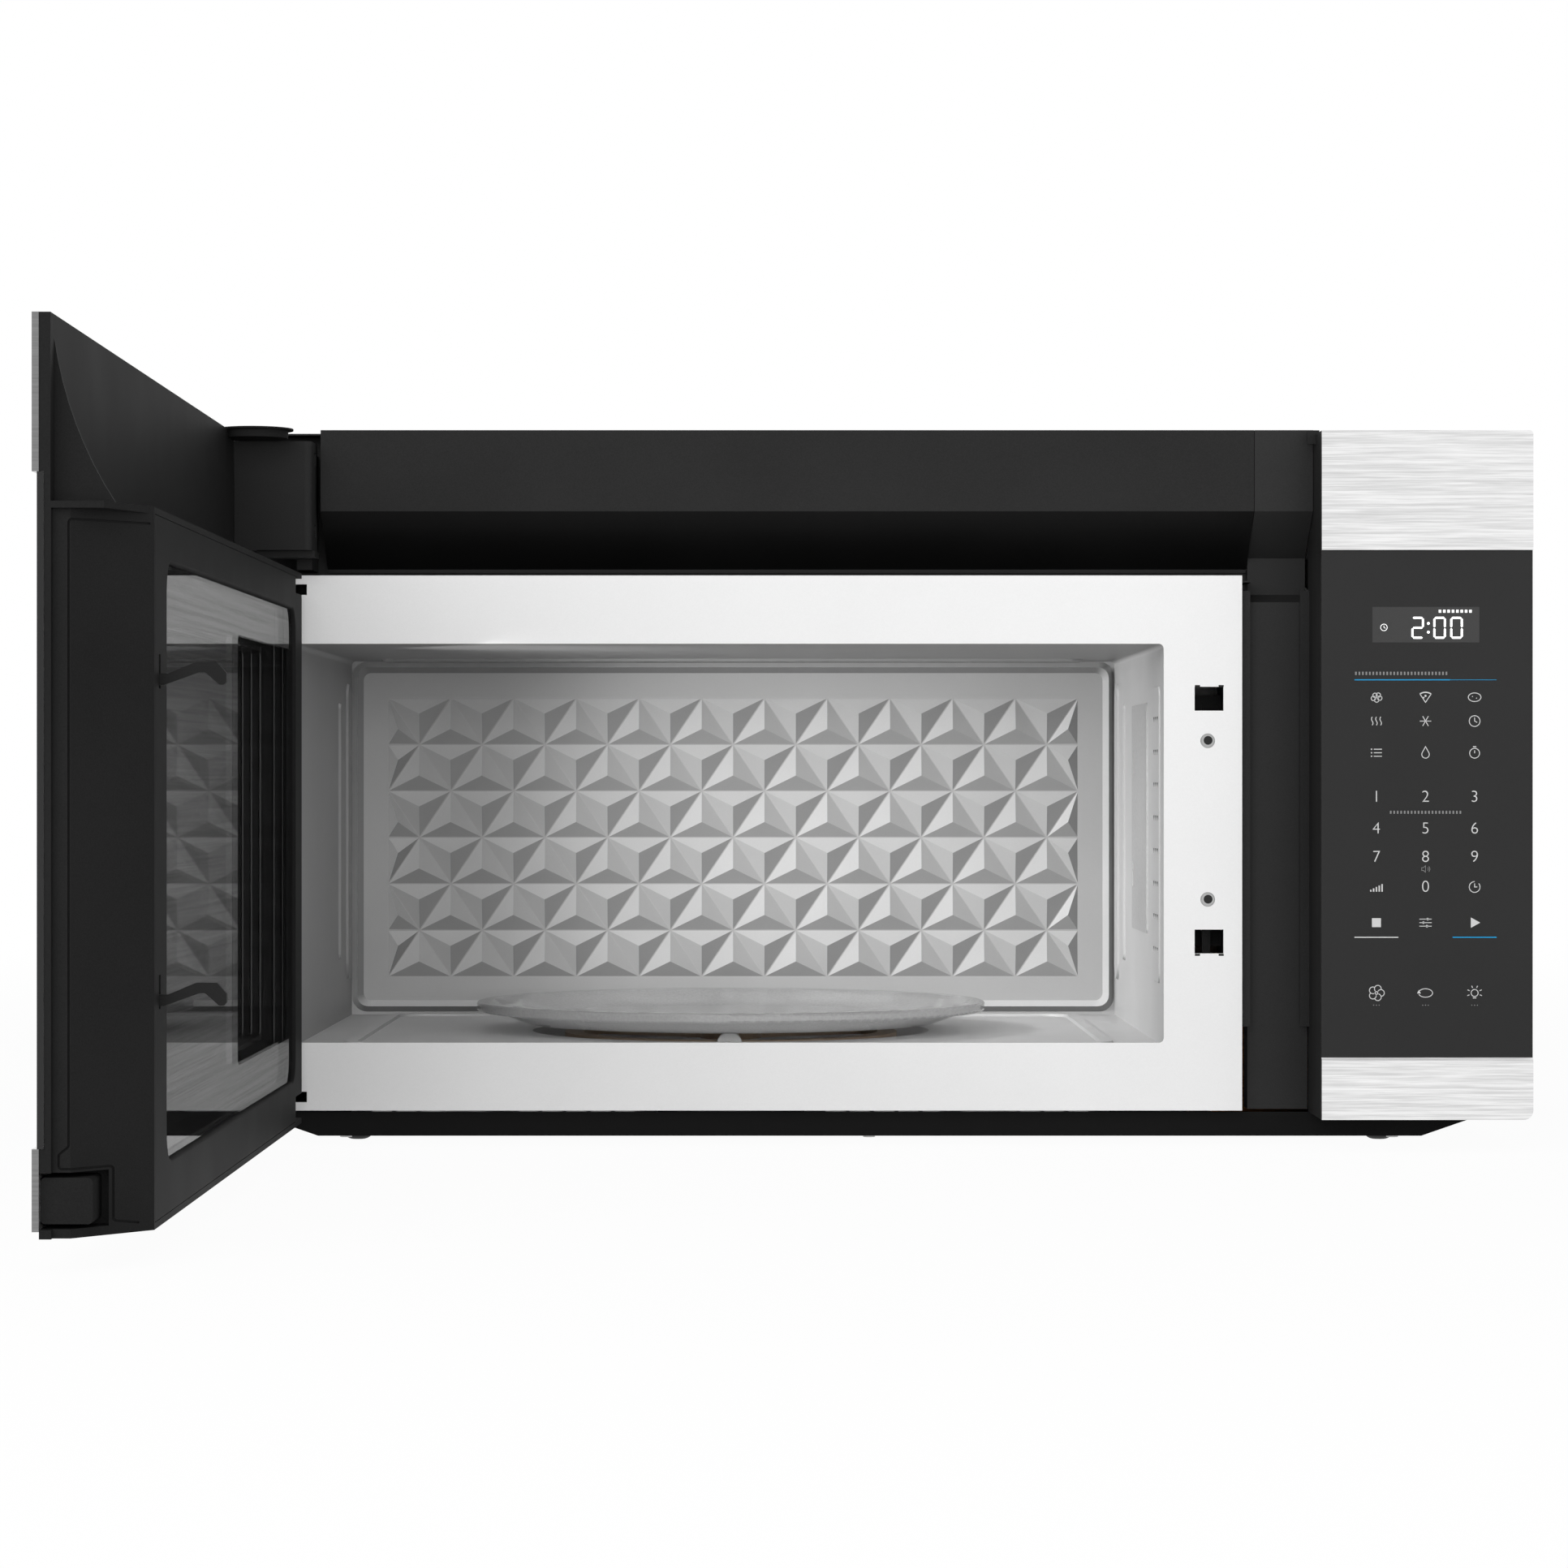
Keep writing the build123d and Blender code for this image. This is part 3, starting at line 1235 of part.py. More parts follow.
choke_v0 = door_v0 + glass_inset + 0.5
choke_v1 = cover_v0
with BuildPart() as door_choke_frame:
    with BuildSketch(door_view(choke_v0 + choke_wall)):
        rect((well_left + seat_gap, well_right - seat_gap),
             (well_bottom_z + seat_gap, well_top_z - seat_gap), 6)
        rect((window_left, window_right), (window_bottom_z, window_top_z), 5, mode=Mode.SUBTRACT)
    extrude(amount=choke_wall)
    with BuildSketch(door_view(choke_v1)):
        rect((well_left + seat_gap, well_right - seat_gap),
             (well_bottom_z + seat_gap, well_top_z - seat_gap), 6)
        rect((well_left + seat_gap + choke_wall, well_right - seat_gap - choke_wall),
             (well_bottom_z + seat_gap + choke_wall, well_top_z - seat_gap - choke_wall), 5,
             mode=Mode.SUBTRACT)
    extrude(amount=choke_v1 - choke_v0)
    with BuildSketch(door_view(choke_v0 + choke_step)):
        rect((window_left - choke_wall, window_right + choke_wall),
             (window_bottom_z - choke_wall, window_top_z + choke_wall), 6)
        rect((window_left, window_right), (window_bottom_z, window_top_z), 5, mode=Mode.SUBTRACT)
    extrude(amount=choke_step)
finish(door_choke_frame, "door_choke_frame")

with BuildPart() as door_screen:
    with BuildSketch(door_view(choke_v0 + choke_wall + screen_thickness)):
        rect((window_left, window_right), (window_bottom_z, window_top_z), 5)
    extrude(amount=screen_thickness)
finish(door_screen, "door_screen")

cover_u1 = door_u1 - end_slope - 7 - seat_gap
rim_round = 0.4 * cover_thickness
latch_hole_gap = 1.2
latch_hole_height = 14.0
with BuildPart() as door_inner_cover:
    with BuildSketch(door_view(door_v1)):
        rect((-inner_edge, cover_u1), (door_bottom + cover_border + seat_gap, shelf_underside - seat_gap))
        rect((rim_left, rim_right), (rim_bottom_z, rim_top_z), rim_radius, mode=Mode.SUBTRACT)
        for z in (latch_upper_z, latch_lower_z):
            rect((latch_u - latch_thickness / 2 - latch_hole_gap,
                  latch_u + latch_thickness / 2 + latch_hole_gap),
                 (z - latch_hole_gap, z + latch_hole_height), mode=Mode.SUBTRACT)
    extrude(amount=cover_thickness)
    rim = door_inner_cover.faces().sort_by(Axis.X)[-1].inner_wires().sort_by(SortBy.LENGTH)[-1]
    fillet(rim.edges(), rim_round)
    add(hinge_room.part, mode=Mode.SUBTRACT)
finish(door_inner_cover, "door_inner_cover")

with BuildPart() as door_inner_pane:
    with BuildSketch(door_view(cover_v0 + pane_thickness)):
        rect((rim_left + seat_gap, rim_right - seat_gap), (rim_bottom_z + seat_gap, rim_top_z - seat_gap),
             rim_radius - seat_gap)
    extrude(amount=pane_thickness)
finish(door_inner_pane, "door_inner_pane")

with BuildPart() as latch_bar:
    with BuildSketch(door_section(latch_u + latch_thickness / 2)):
        bar_v1 = cover_v0 - latch_side_clearance
        rect((bar_v1 - latch_bar_width, bar_v1), (latch_bar_z0, latch_bar_z1))
        tip = door_v1 + latch_reach
        for z in (latch_upper_z, latch_lower_z):
            with BuildLine():
                Polyline(
                    (bar_v1 - 1, z + 0.3),
                    (door_v1 + 2, z + 0.3),
                    (tip - hook_head + 1.5, z + hook_rise - 4.6),
                    (tip - hook_head + 4, z + hook_rise - 4.6),
                    (tip - hook_head * 0.25, z + 0.5),
                    (tip - hook_head * 0.08, z + 0.5),
                    (tip, z + 1.7),
                    (tip, z + hook_rise * 0.53),
                    (tip - hook_head * 0.32, z + hook_rise),
                    (tip - hook_head, z + hook_rise),
                    (door_v1 + 4, z + hook_shank),
                    (bar_v1 - 1, z + hook_shank),
                    close=True,
                )
            make_face()
    extrude(amount=-latch_thickness)
finish(latch_bar, "latch_bar")

# ================================================================ latch carrier and interlock
screw_radius = 2.1
screw_length = 12.0
screw_head_radius = 4.3
screw_head_height = 0.9
carrier_x0 = latch_slot_x0 - 5
carrier_x1 = latch_slot_x0 + latch_slot_width + 6
carrier_wall = 3.0
carrier_z0 = latch_slot_z[1] - 14
carrier_z1 = latch_slot_z[0] + latch_slot_height + 14
lever_y = front + door_thickness + latch_reach + 1.0
lever_thickness = 5.0
lever_pin_radius = 2.0
with BuildPart() as latch_carrier:
    with BuildSketch(front_view(plate_back + carrier_wall)):
        rect((carrier_x0, carrier_x1), (carrier_z0, carrier_z1), 3)
        for z in latch_slot_z:
            rect((latch_slot_x0 - 1, latch_slot_x0 + latch_slot_width + 1),
                 (z - 1, z + latch_slot_height + 1),
                 mode=Mode.SUBTRACT)
        with Locations(*[(plate_screw_x, z) for z in plate_screw_z]):
            Circle(screw_radius + run_gap, mode=Mode.SUBTRACT)
    extrude(amount=carrier_wall)
    block((carrier_x1 - carrier_wall, carrier_x1), (plate_back + carrier_wall, lever_y + 34),
          (carrier_z0 + 4, carrier_z1 - 4))
    with BuildSketch(side_view(latch_x - 3.5)):
        with Locations((lever_y + lever_thickness / 2, lever_pivot_z)):
            Circle(lever_pin_radius)
    extrude(amount=carrier_x1 - carrier_wall - latch_x + 3.5)
finish(latch_carrier, "latch_carrier")

with BuildPart() as interlock_lever:
    with BuildSketch(side_view(latch_x - 2.5)):
        pin_y = lever_y + lever_thickness / 2
        with BuildLine():
            Polyline((lever_y, lever_pivot_z), (lever_y, lever_pivot_z - lever_length),
                     (lever_y + lever_thickness, lever_pivot_z - lever_length),
                     (lever_y + lever_thickness, lever_pivot_z), close=True)
        make_face()
        with Locations((pin_y, lever_pivot_z)):
            Circle(lever_pin_radius + 2.5)
            Circle(lever_pin_radius + run_gap, mode=Mode.SUBTRACT)
    extrude(amount=5)
finish(interlock_lever, "interlock_lever")

with BuildPart() as interlock_switches:
    for z in (lever_pivot_z - lever_length + 12, lever_pivot_z - lever_length + 36, latch_slot_z[0] + 2):
        block((latch_x - 6, carrier_x1 - carrier_wall),
              (lever_y + lever_thickness + 9, lever_y + 32), (z - 8, z + 8))
        with Locations((latch_x, lever_y + lever_thickness + 8.4, z)):
            Box(3, 1.6, 4)
finish(interlock_switches, "interlock_switches")

pan_screw_middle = 160.0
pan_screw_spacing = 290.0
pan_screw_inset = 15.0
with BuildPart() as fixing_screws:
    for z in plate_screw_z:
        with Locations(Plane(origin=(plate_screw_x, plate_front, z), z_dir=(0, -1, 0)).location):
            Cylinder(screw_radius, screw_length, align=(Align.CENTER, Align.CENTER, Align.MAX))
            Cone(screw_head_radius, screw_head_radius * 0.84, screw_head_height,
                 align=(Align.CENTER, Align.CENTER, Align.MIN))
            Box(screw_head_radius, screw_head_height, 3, mode=Mode.SUBTRACT)
            Box(screw_head_height, screw_head_radius, 3, mode=Mode.SUBTRACT)
    # two rows under the base pan
    with BuildSketch(plan_view(pan_bottom)):
        with Locations((0, front + pan_front_depth + pan_screw_middle)):
            with GridLocations(right - pan_flat_inset - pan_screw_inset, pan_screw_spacing, 3, 2):
                Circle(screw_head_radius * 0.84)
    extrude(amount=-2 * screw_head_height)
finish(fixing_screws, "fixing_screws")

# ================================================================ microwave generator
guide_x0 = cavity_x1 + sheet
guide_x1 = guide_x0 + guide_width
guide_ym = (guide_y0 + guide_y1) / 2
antenna_radius = 8.0
with BuildPart() as waveguide:
    block((guide_x0, guide_x1), (guide_y0, guide_y1), (guide_bottom_z, guide_top_z))
    block((guide_x0 - 1, guide_x1 - sheet), (guide_y0 + sheet, guide_y1 - sheet),
          (guide_bottom_z + sheet, guide_top_z - sheet), mode=Mode.SUBTRACT)
    with BuildSketch(side_view(guide_x1 - 2 * sheet)):
        with Locations((guide_ym, magnetron_z)):
            Circle(antenna_radius + 6)
    extrude(amount=4 * sheet, mode=Mode.SUBTRACT)
finish(waveguide, "waveguide")

mica_thickness = 1.0
with BuildPart() as waveguide_cover:
    with BuildSketch(side_view(cavity_x1 - mica_thickness)):
        rect((mica_y0, mica_y1), (mica_bottom_z, mica_top_z), 3)
        for low in (mica_top_z - mica_slot_drop - mica_slot_height, mica_bottom_z + mica_slot_rise):
            rect((mica_y1 - mica_slot_inset - mica_slot_width, mica_y1 - mica_slot_inset),
                 (low, low + mica_slot_height), mode=Mode.SUBTRACT)
    extrude(amount=mica_thickness)
finish(waveguide_cover, "waveguide_cover")

magnetron_length = 88.0
magnetron_half_width = 40.0
magnetron_half_height = 34.0
magnetron_core_radius = 20.0
magnetron_plate = 3.0
magnetron_fins = 6
magnetron_box = 30.0
with BuildPart() as magnetron:
    yoke_x1 = guide_x1 + magnetron_length
    half_y, half_z, t = magnetron_half_width, magnetron_half_height, magnetron_plate
    block((guide_x1, guide_x1 + t), (guide_ym - half_y - 6, guide_ym + half_y + 6),
          (magnetron_z - half_z - 6, magnetron_z + half_z + 6))
    block((yoke_x1 - t, yoke_x1), (guide_ym - half_y, guide_ym + half_y),
          (magnetron_z - half_z, magnetron_z + half_z))
    for side in (-1, 1):
        block((guide_x1, yoke_x1), (guide_ym + side * half_y, guide_ym + side * (half_y - t)),
              (magnetron_z - half_z, magnetron_z + half_z))
    fin_pitch = magnetron_length / (magnetron_fins + 5)
    for fin in range(magnetron_fins):
        x = guide_x1 + (fin + 3) * fin_pitch
        block((x, x + sheet), (guide_ym - half_y + t, guide_ym + half_y - t),
              (magnetron_z - half_z + 4, magnetron_z + half_z - 4))
    with BuildSketch(side_view(guide_x1)):
        with Locations((guide_ym, magnetron_z)):
            Circle(magnetron_core_radius)
    extrude(amount=magnetron_length)
    # antenna that reaches into the waveguide, and the filter box behind
    with BuildSketch(side_view(guide_x1 - guide_width * 0.6)):
        with Locations((guide_ym, magnetron_z)):
            Circle(antenna_radius)
    extrude(amount=guide_width * 0.6 + 1)
    block((yoke_x1, yoke_x1 + magnetron_box), (guide_ym - 0.7 * half_y, guide_ym + 0.7 * half_y),
          (magnetron_z - 0.65 * half_z, magnetron_z + 0.65 * half_z))
finish(magnetron, "magnetron")

transformer_inset = 117.5
transformer_depth = 214.0
transformer_x = right - transformer_inset
transformer_y = front + transformer_depth
core_half_x = 48.0
core_half_y = 32.0
core_height = 78.0
coil_reach = 22.0
foot_plate = 2.0
with BuildPart() as high_voltage_transformer:
    block((transformer_x - core_half_x, transformer_x + core_half_x),
          (transformer_y - core_half_y, transformer_y + core_half_y), (pan_floor, pan_floor + core_height))
    for side in (-1, 1):
        with BuildSketch(Plane(origin=(transformer_x, transformer_y + side * core_half_y,
                                       pan_floor + core_height / 2),
                               z_dir=(0, side, 0))):
            RectangleRounded(1.3 * core_half_x, 0.6 * core_height, 10)
        extrude(amount=coil_reach)
    block((transformer_x - core_half_x - 10, transformer_x + core_half_x + 10),
          (transformer_y - core_half_y - 8, transformer_y + core_half_y + 8),
          (pan_floor, pan_floor + foot_plate))
finish(high_voltage_transformer, "high_voltage_transformer")

capacitor_gap = 14.0
capacitor_length = 88.0
capacitor_wide = 56.0
capacitor_thick = 34.0
capacitor_y = transformer_y + core_half_y + coil_reach + capacitor_gap + capacitor_wide / 2 + 2
capacitor_z = pan_floor + capacitor_thick / 2 + 3
capacitor_x0 = transformer_x - core_half_x
terminal_x = capacitor_x0 + capacitor_length + 3
with BuildPart() as high_voltage_capacitor:
    with BuildSketch(Plane(origin=(capacitor_x0, capacitor_y, capacitor_z),
                           z_dir=(1, 0, 0), x_dir=(0, 1, 0))):
        SlotOverall(capacitor_wide, capacitor_thick)
    extrude(amount=capacitor_length)
    fillet(high_voltage_capacitor.edges().group_by(Axis.X)[-1], 2)
    for side in (-1, 1):
        block((terminal_x - 6, terminal_x + 6), (capacitor_y + side * 9, capacitor_y + side * 15),
              (capacitor_z - 0.5, capacitor_z + 0.5))
    # strap that holds the can to the pan
    block((transformer_x - 20, transformer_x), (capacitor_y - 30, capacitor_y + 30),
          (pan_floor, pan_floor + 4))
finish(high_voltage_capacitor, "high_voltage_capacitor")

diode_radius = 4.0
diode_x = terminal_x + 10
with BuildPart() as high_voltage_diode:
    with Locations((diode_x, capacitor_y, pan_floor + diode_radius)):
        Cylinder(diode_radius, 5 * diode_radius, rotation=(90, 0, 0))
        Box(2 * diode_radius + 1, 34, 1)
    block((diode_x - diode_radius, diode_x + diode_radius), (capacitor_y - 17, capacitor_y - 12),
          (pan_floor, pan_floor + diode_radius))
finish(high_voltage_diode, "high_voltage_diode")

# ================================================================ magnetron cooling fan
fan_back = -sheet
with BuildPart() as cooling_fan_housing:
    with BuildSketch(front_view(fan_back)):
        with Locations((fan_x, fan_z)):
            RectangleRounded(fan_frame, fan_frame, 6)
            Circle(fan_radius + 3, mode=Mode.SUBTRACT)
    extrude(amount=fan_frame_depth)
    with BuildSketch(front_view(fan_back)):
        with Locations((fan_x, fan_z)):
            with PolarLocations((fan_radius + 4) / 2, 4, start_angle=45):
                Rectangle(fan_radius + 8, 6)
            Circle(fan_motor_radius)
    extrude(amount=3)
    with BuildSketch(front_view(fan_back - 3)):
        with Locations((fan_x, fan_z)):
            Circle(fan_motor_radius)
    extrude(amount=12)
    with Locations((fan_x, fan_back - 9, fan_z)):
        Cylinder(3 + run_gap, 20, rotation=(90, 0, 0), mode=Mode.SUBTRACT)
finish(cooling_fan_housing, "cooling_fan_housing")

blade_back = fan_back - 3 - 12 - 1
with BuildPart() as cooling_fan_blade:
    with BuildSketch(front_view(blade_back)):
        with Locations((fan_x, fan_z)):
            Circle(13)
    extrude(amount=14)
    with BuildSketch(front_view(blade_back + 11)):
        with Locations((fan_x, fan_z)):
            Circle(3)
    extrude(amount=14)
    for step in range(fan_blades):
        spin = 2 * pi * step / fan_blades
        outward = Vector(cos(spin), 0, sin(spin))
        across = Vector(-sin(spin), 0, cos(spin))
        tilt = (across * cos(radians(35)) + Vector(0, -1, 0) * sin(radians(35))).normalized()
        root = Vector(fan_x, blade_back - 7, fan_z) + outward * 11
        with BuildSketch(Plane(origin=root, x_dir=tilt, z_dir=outward)):
            Rectangle(17, 1.8)
        with BuildSketch(Plane(origin=root + outward * (fan_radius - 12), x_dir=tilt, z_dir=outward)):
            Rectangle(21, 1.2)
        loft()
finish(cooling_fan_blade, "cooling_fan_blade")

# ================================================================ exhaust blower
scroll_x = [blower_centre_x - blower_offset, blower_centre_x + blower_offset]
with BuildPart() as exhaust_blower_housing:
    for x in scroll_x:
        x0 = x - blower_scroll_width / 2
        with BuildSketch(side_view(x0)):
            with Locations((blower_y, blower_z)):
                Circle(blower_scroll_radius)
            rect((duct_y0 + 6, duct_y1 - 6), (blower_z, top - sheet))
        extrude(amount=blower_scroll_width)
    for x in scroll_x:
        x0 = x - blower_scroll_width / 2
        with BuildSketch(side_view(x0 + blower_scroll_wall)):
            with Locations((blower_y, blower_z)):
                Circle(blower_scroll_radius - blower_scroll_wall)
            rect((duct_y0 + 6 + blower_scroll_wall, duct_y1 - 6 - blower_scroll_wall), (blower_z, top + 1))
        extrude(amount=blower_scroll_width - 2 * blower_scroll_wall, mode=Mode.SUBTRACT)
        with BuildSketch(side_view(x0 - 1)):
            with Locations((blower_y, blower_z)):
                Circle(blower_wheel_radius * 0.72)
        extrude(amount=blower_scroll_width + 2, mode=Mode.SUBTRACT)
    # saddle joins the scrolls and stands on the cavity ceiling
    block((scroll_x[0], scroll_x[1]), (blower_y + 38, blower_y + 40), (cavity_z1 + sheet, blower_z - 20))
    for x in scroll_x:
        block((x - 20, x + 20), (blower_y - 12, blower_y + 12),
              (cavity_z1 + sheet, blower_z - blower_scroll_radius + 1.2))
finish(exhaust_blower_housing, "exhaust_blower_housing")

with BuildPart() as exhaust_blower_motor:
    with BuildSketch(side_view(blower_centre_x - blower_motor_length / 2)):
        with Locations((blower_y, blower_z)):
            Circle(blower_motor_radius - 8)
            Circle(blower_shaft_radius + run_gap, mode=Mode.SUBTRACT)
    extrude(amount=blower_motor_length)
    block((blower_centre_x - 25, blower_centre_x + 25), (blower_y - 20, blower_y + 20),
          (cavity_z1 + sheet, blower_z - 24))
    with BuildSketch(side_view(blower_centre_x - 22)):
        with Locations((blower_y, blower_z)):
            Circle(blower_motor_radius - 2)
            Circle(blower_shaft_radius + run_gap, mode=Mode.SUBTRACT)
    extrude(amount=44)
finish(exhaust_blower_motor, "exhaust_blower_motor")

with BuildPart() as exhaust_blower_wheels:
    shaft_half = blower_offset + blower_wheel_width / 2 - 4
    with BuildSketch(side_view(blower_centre_x - shaft_half)):
        with Locations((blower_y, blower_z)):
            Circle(blower_shaft_radius)
    extrude(amount=2 * shaft_half)
    for x in scroll_x:
        x0 = x - blower_wheel_width / 2
        for start, deep, inner in ((x0, 2.0, blower_wheel_radius - 9),
                                   (x0 + blower_wheel_width / 2 - 1, 2.0, 0),
                                   (x0 + blower_wheel_width - 2, 2.0, blower_wheel_radius - 9)):
            with BuildSketch(side_view(start)):
                with Locations((blower_y, blower_z)):
                    Circle(blower_wheel_radius)
                    if inner > 0:
                        Circle(inner, mode=Mode.SUBTRACT)
            extrude(amount=deep)
        with BuildSketch(side_view(x0)):
            with Locations((blower_y, blower_z)):
                with PolarLocations(blower_wheel_radius - 4.5, blower_blades):
                    Rectangle(8, 1.2, rotation=35)
        extrude(amount=blower_wheel_width)
finish(exhaust_blower_wheels, "exhaust_blower_wheels")

# ================================================================ lamps, filters, grommet
lamp_box_depth = 19.0
lamp_box_height = 44.0
lamp_box_drop = 30.6
lamp_z = lamp_pad_z1 - lamp_box_drop
with BuildPart() as cavity_lamp:
    block((cavity_x1 + sheet, cavity_x1 + sheet + lamp_box_depth), (lamp_pad_y0, lamp_pad_y1),
          (lamp_z - lamp_box_height / 2, lamp_z + lamp_box_height / 2))
    block((cavity_x1, cavity_x1 + lamp_box_depth - sheet), (lamp_pad_y0 + 2, lamp_pad_y1 - 2),
          (lamp_z - lamp_box_height / 2 + 2, lamp_z + lamp_box_height / 2 - 2), mode=Mode.SUBTRACT)
    with BuildSketch(side_view(cavity_x1 + sheet + lamp_box_depth)):
        with Locations((lamp_pad_ym, lamp_z)):
            Circle(5)
    extrude(amount=-(lamp_box_depth - 4))
finish(cavity_lamp, "cavity_lamp")

with BuildPart() as cooktop_lamps:
    for x in (turntable_x - lamp_dx, turntable_x + lamp_dx):
        with BuildSketch(plan_view(pan_bottom)):
            with Locations((x, lamp_y)):
                Circle(lamp_lens_radius - seat_gap)
        extrude(amount=3)
        with BuildSketch(plan_view(pan_floor)):
            with Locations((x, lamp_y)):
                Circle(lamp_lens_radius + 4)
        extrude(amount=9)
finish(cooktop_lamps, "cooktop_lamps")

with BuildPart() as grease_filters:
    for x in filter_x:
        with BuildSketch(plan_view(pan_bottom)):
            with Locations((x, filter_y)):
                Rectangle(filter_length - 1, filter_width - 1)
                with GridLocations(filter_length / 12, filter_width / 8, 11, 7):
                    Rectangle(filter_length / 12 - 2.5, filter_width / 8 - 2.5, mode=Mode.SUBTRACT)
        extrude(amount=filter_thickness)
        with BuildSketch(plan_view(pan_floor)):
            with Locations((x, filter_y)):
                Rectangle(filter_length + 8, filter_width + 8)
                Rectangle(filter_length - 2, filter_width - 2, mode=Mode.SUBTRACT)
        extrude(amount=filter_thickness - sheet)
finish(grease_filters, "grease_filters")

filter_pad_z0 = plate_z1 + 12
filter_pad_z1 = top - 4
filter_pad_thickness = 14.0
filter_pad_margin = 14.0
with BuildPart() as charcoal_filter:
    with BuildSketch(front_view(crossmember_y + sheet + filter_pad_thickness)):
        rect((cavity_xm - filter_pad_half, cavity_xm + filter_pad_half), (filter_pad_z0, filter_pad_z1), 4)
    extrude(amount=filter_pad_thickness)
    with BuildSketch(front_view(crossmember_y + sheet)):
        rect((cavity_xm - filter_pad_half + filter_pad_margin,
              cavity_xm + filter_pad_half - filter_pad_margin),
             (filter_pad_z0 + filter_pad_margin, filter_pad_z1 - filter_pad_margin), 4)
        with Locations((cavity_xm, (filter_pad_z0 + filter_pad_z1) / 2)):
            with GridLocations(24, 1, 10, 1):
                SlotOverall(30, 14, rotation=90, mode=Mode.SUBTRACT)
    extrude(amount=sheet)
finish(charcoal_filter, "charcoal_filter")

with BuildPart() as cord_grommet:
    with BuildSketch(plan_view(top - sheet - grommet_lip)):
        with Locations((grommet_x, grommet_y)):
            Circle(grommet_radius)
            Circle(grommet_radius - grommet_wall, mode=Mode.SUBTRACT)
    extrude(amount=sheet + grommet_lip)
    with BuildSketch(plan_view(top - sheet - grommet_lip)):
        with Locations((grommet_x, grommet_y)):
            Circle(grommet_radius + grommet_wall)
            Circle(grommet_radius - grommet_wall, mode=Mode.SUBTRACT)
    extrude(amount=grommet_lip)
finish(cord_grommet, "cord_grommet")
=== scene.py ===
"""Finishes, printed panel, plate and door details, lights and camera for the over the range microwave."""
import math

import bmesh
import bpy
from mathutils import Matrix, Vector


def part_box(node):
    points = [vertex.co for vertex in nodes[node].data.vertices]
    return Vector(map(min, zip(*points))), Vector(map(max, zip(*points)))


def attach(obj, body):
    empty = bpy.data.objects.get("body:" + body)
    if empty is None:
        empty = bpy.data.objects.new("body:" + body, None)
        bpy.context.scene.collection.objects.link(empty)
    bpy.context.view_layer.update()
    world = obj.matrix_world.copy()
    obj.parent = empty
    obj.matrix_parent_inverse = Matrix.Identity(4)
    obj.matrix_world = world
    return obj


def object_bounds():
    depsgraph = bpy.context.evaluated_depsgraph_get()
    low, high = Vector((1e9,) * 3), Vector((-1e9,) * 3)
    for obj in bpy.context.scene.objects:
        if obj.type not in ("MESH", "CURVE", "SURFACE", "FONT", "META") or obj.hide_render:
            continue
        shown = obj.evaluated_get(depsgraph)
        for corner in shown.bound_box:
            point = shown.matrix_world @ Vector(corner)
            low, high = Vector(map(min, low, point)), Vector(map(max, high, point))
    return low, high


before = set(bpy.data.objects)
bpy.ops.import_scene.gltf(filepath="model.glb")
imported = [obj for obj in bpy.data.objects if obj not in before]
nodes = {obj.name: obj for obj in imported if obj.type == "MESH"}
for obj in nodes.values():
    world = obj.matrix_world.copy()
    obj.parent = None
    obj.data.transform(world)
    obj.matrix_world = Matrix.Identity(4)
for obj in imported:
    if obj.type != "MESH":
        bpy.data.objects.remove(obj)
cad_low, cad_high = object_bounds()
MM = 0.001
texture_depth = 0.1 * MM


# ---------------------------------------------------------------- shader building blocks
def add_node(tree, kind, inputs=None, **settings):
    """A node with its settings; inputs are values or sockets to link from."""
    node = tree.nodes.new(kind)
    for key, value in settings.items():
        setattr(node, key, value)
    for key, value in (inputs or {}).items():
        if isinstance(value, bpy.types.NodeSocket):
            tree.links.new(value, node.inputs[key])
        else:
            node.inputs[key].default_value = value
    return node


def new_group(name, inputs, outputs):
    """An empty shader group with named float, vector or colour sockets."""
    tree = bpy.data.node_groups.new(name, "ShaderNodeTree")
    for label, kind, value in inputs:
        socket = tree.interface.new_socket(name=label, in_out="INPUT", socket_type=kind)
        if value is not None:
            socket.default_value = value
    for label, kind in outputs:
        tree.interface.new_socket(name=label, in_out="OUTPUT", socket_type=kind)
    return tree, tree.nodes.new("NodeGroupInput"), tree.nodes.new("NodeGroupOutput")


